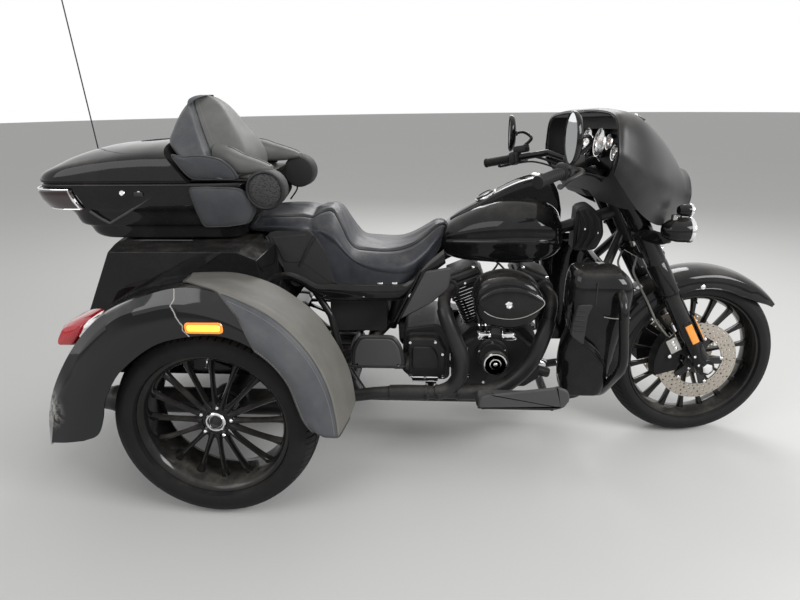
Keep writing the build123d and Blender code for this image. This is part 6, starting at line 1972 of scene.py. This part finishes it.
# %% Boards and guard
boards = Shape()
BOARD = [(200, -300), (196, -330), (200, -398), (216, -412), (452, -412), (490, -396), (512, -360),
         (508, -306), (484, -294), (216, -292)]
boards.plate(closed_line(BOARD, 14, 90), 286, 296, 3, 0, 2)
boards.plate(closed_line([(x + (350 - x) * 0.05, y + (-352 - y) * 0.14) for x, y in BOARD], 12, 90), 295,
             304, 3, 1, 2)
for k in range(6):
    boards.block((350, -318 - 14 * k, 304.5), (240 - 12 * k, 3, 3), 1.2, None, 1)
SKIRT = [(203, 290), (206, 334), (240, 342), (466, 374), (498, 362), (506, 322), (482, 300)]
boards.plate(closed_line(SKIRT, 14, 60), -416, -402, 5, 1)
for x in (270, 430):
    boards.block((x, -306, 272), (22, 60, 26), 5)
build("rider_boards", both_sides(boards), [satin_black, grey_plastic, chrome], "chassis",
      ["rider_footboards"])

for word, side in (("right", -1), ("left", 1)):
    step = Shape()
    outline = [(-243, 384), (-238, 368), (-57, 368), (-50, 384), (-60, 450), (-82, 486), (-100, 492),
               (-196, 492), (-214, 486), (-236, 450)]
    step.plate(closed_line(outline, 16, 80), -277, -259, 5, 0)
    pad = [(x + (-147 - x) * 0.12, z + (430 - z) * 0.16) for x, z in outline]
    step.plate(closed_line(pad, 14, 80), -282, -274, 3, 1)
    step.block((-147, -270, 374), (184, 24, 9), 3, None, 0)
    for x in (-220, -74):
        step.revolve([(4.5, 14), (9, 14), (9, -14), (4.5, -14)], (x, -268, 372), (1, 0, 0), 24, 0, True)
        step.revolve([(6, 0), (6, 3), (4, 5), (0, 5)], (x, -277, 384), (0, -1, 0), 16, 2)
    if side > 0:
        step.repeat([MIRROR_Y])
    build(f"passenger_board_{word}", step, [satin_black, grey_plastic, chrome], f"footboard_{word}",
          [f"passenger_footboard_{word}"])

guard = Shape()
LOOP = [(652, 0, 700), (654, 200, 696), (648, 395, 672), (672, 395, 440), (656, 210, 250), (640, 150, 236),
        (640, -150, 236), (656, -210, 250), (672, -395, 440), (648, -395, 672), (654, -200, 696)]
guard.tube(even(rounded(LOOP, 60, 9), 260, True), 16, 20, 0, True)
for side in (-1, 1):
    guard.block((632, side * 152, 240), (34, 26, 30), 5, None, 0)
    guard.revolve([(9, 0), (9, 5), (6, 8), (0, 8)], (650, side * 152, 244), (1, 0, 0), 6, 1)
build("guard_loop", guard, [gloss_black, chrome, soft_rubber], "chassis", ["engine_guard"])
softened("footboard_pins", 1.2)
softened("rear_axle", 2)
print("engine and boards done")

# %% [markdown]
# ## Floor, sky and lamps
# The floor is pale and plain. Camera, mirror and glass rays see a white surround, while the light that
# falls on the trike stays soft and even, from two large lamps and the sky.

# %% Stage
def stage_floor():
    bpy.ops.mesh.primitive_circle_add(vertices=64, radius=40, fill_type="NGON")
    floor = bpy.context.object
    floor.name = "floor"
    finish = Finish("floor", roughness=0.85, specular_ior_level=0.1)
    finish.feed(base_color=finish.mix(finish.noise(1.5, 4.0) * 0.3, (0.72, 0.72, 0.71), (0.68, 0.68, 0.67)))
    floor.data.materials.append(finish.material)
    return floor


def sky():
    world = bpy.data.worlds.new("studio")
    bpy.context.scene.world = world
    world.use_nodes = True
    tree = world.node_tree
    tree.nodes.clear()
    path = tree.nodes.new("ShaderNodeLightPath")
    seen = Wire(tree, path.outputs["Is Camera Ray"]).most(Wire(tree, path.outputs["Is Glossy Ray"]))
    seen = seen.most(Wire(tree, path.outputs["Is Transmission Ray"]))
    light = add_node(tree, "ShaderNodeBackground", None, {"Color": rgb((1, 1, 1)),
                                                          "Strength": seen * 0.55 + 0.45})
    output = tree.nodes.new("ShaderNodeOutputWorld")
    tree.links.new(light.socket, output.inputs[0])


def soft_lamp(name, place, aim, size, power):
    lamp = bpy.data.objects.new(name, bpy.data.lights.new(name, "AREA"))
    lamp.data.shape = "RECTANGLE"
    lamp.data.size, lamp.data.size_y = size
    lamp.data.energy = power
    lamp.location = place
    lamp.rotation_euler = (Vector(aim) - Vector(place)).to_track_quat("-Z", "Y").to_euler()
    bpy.context.scene.collection.objects.link(lamp)


stage_floor()
sky()
soft_lamp("key", (3.6, -2.6, 2.7), (0, 0, 0.6), (2.4, 1.6), 150)
soft_lamp("fill", (-3.2, -3.4, 3.4), (-0.2, 0, 0.5), (3.2, 2.4), 60)
soft_lamp("back", (0.5, 3.2, 3.0), (0, 0, 0.7), (3.0, 1.2), 70)
bpy.context.scene.view_settings.view_transform = "Standard"
print("stage set")
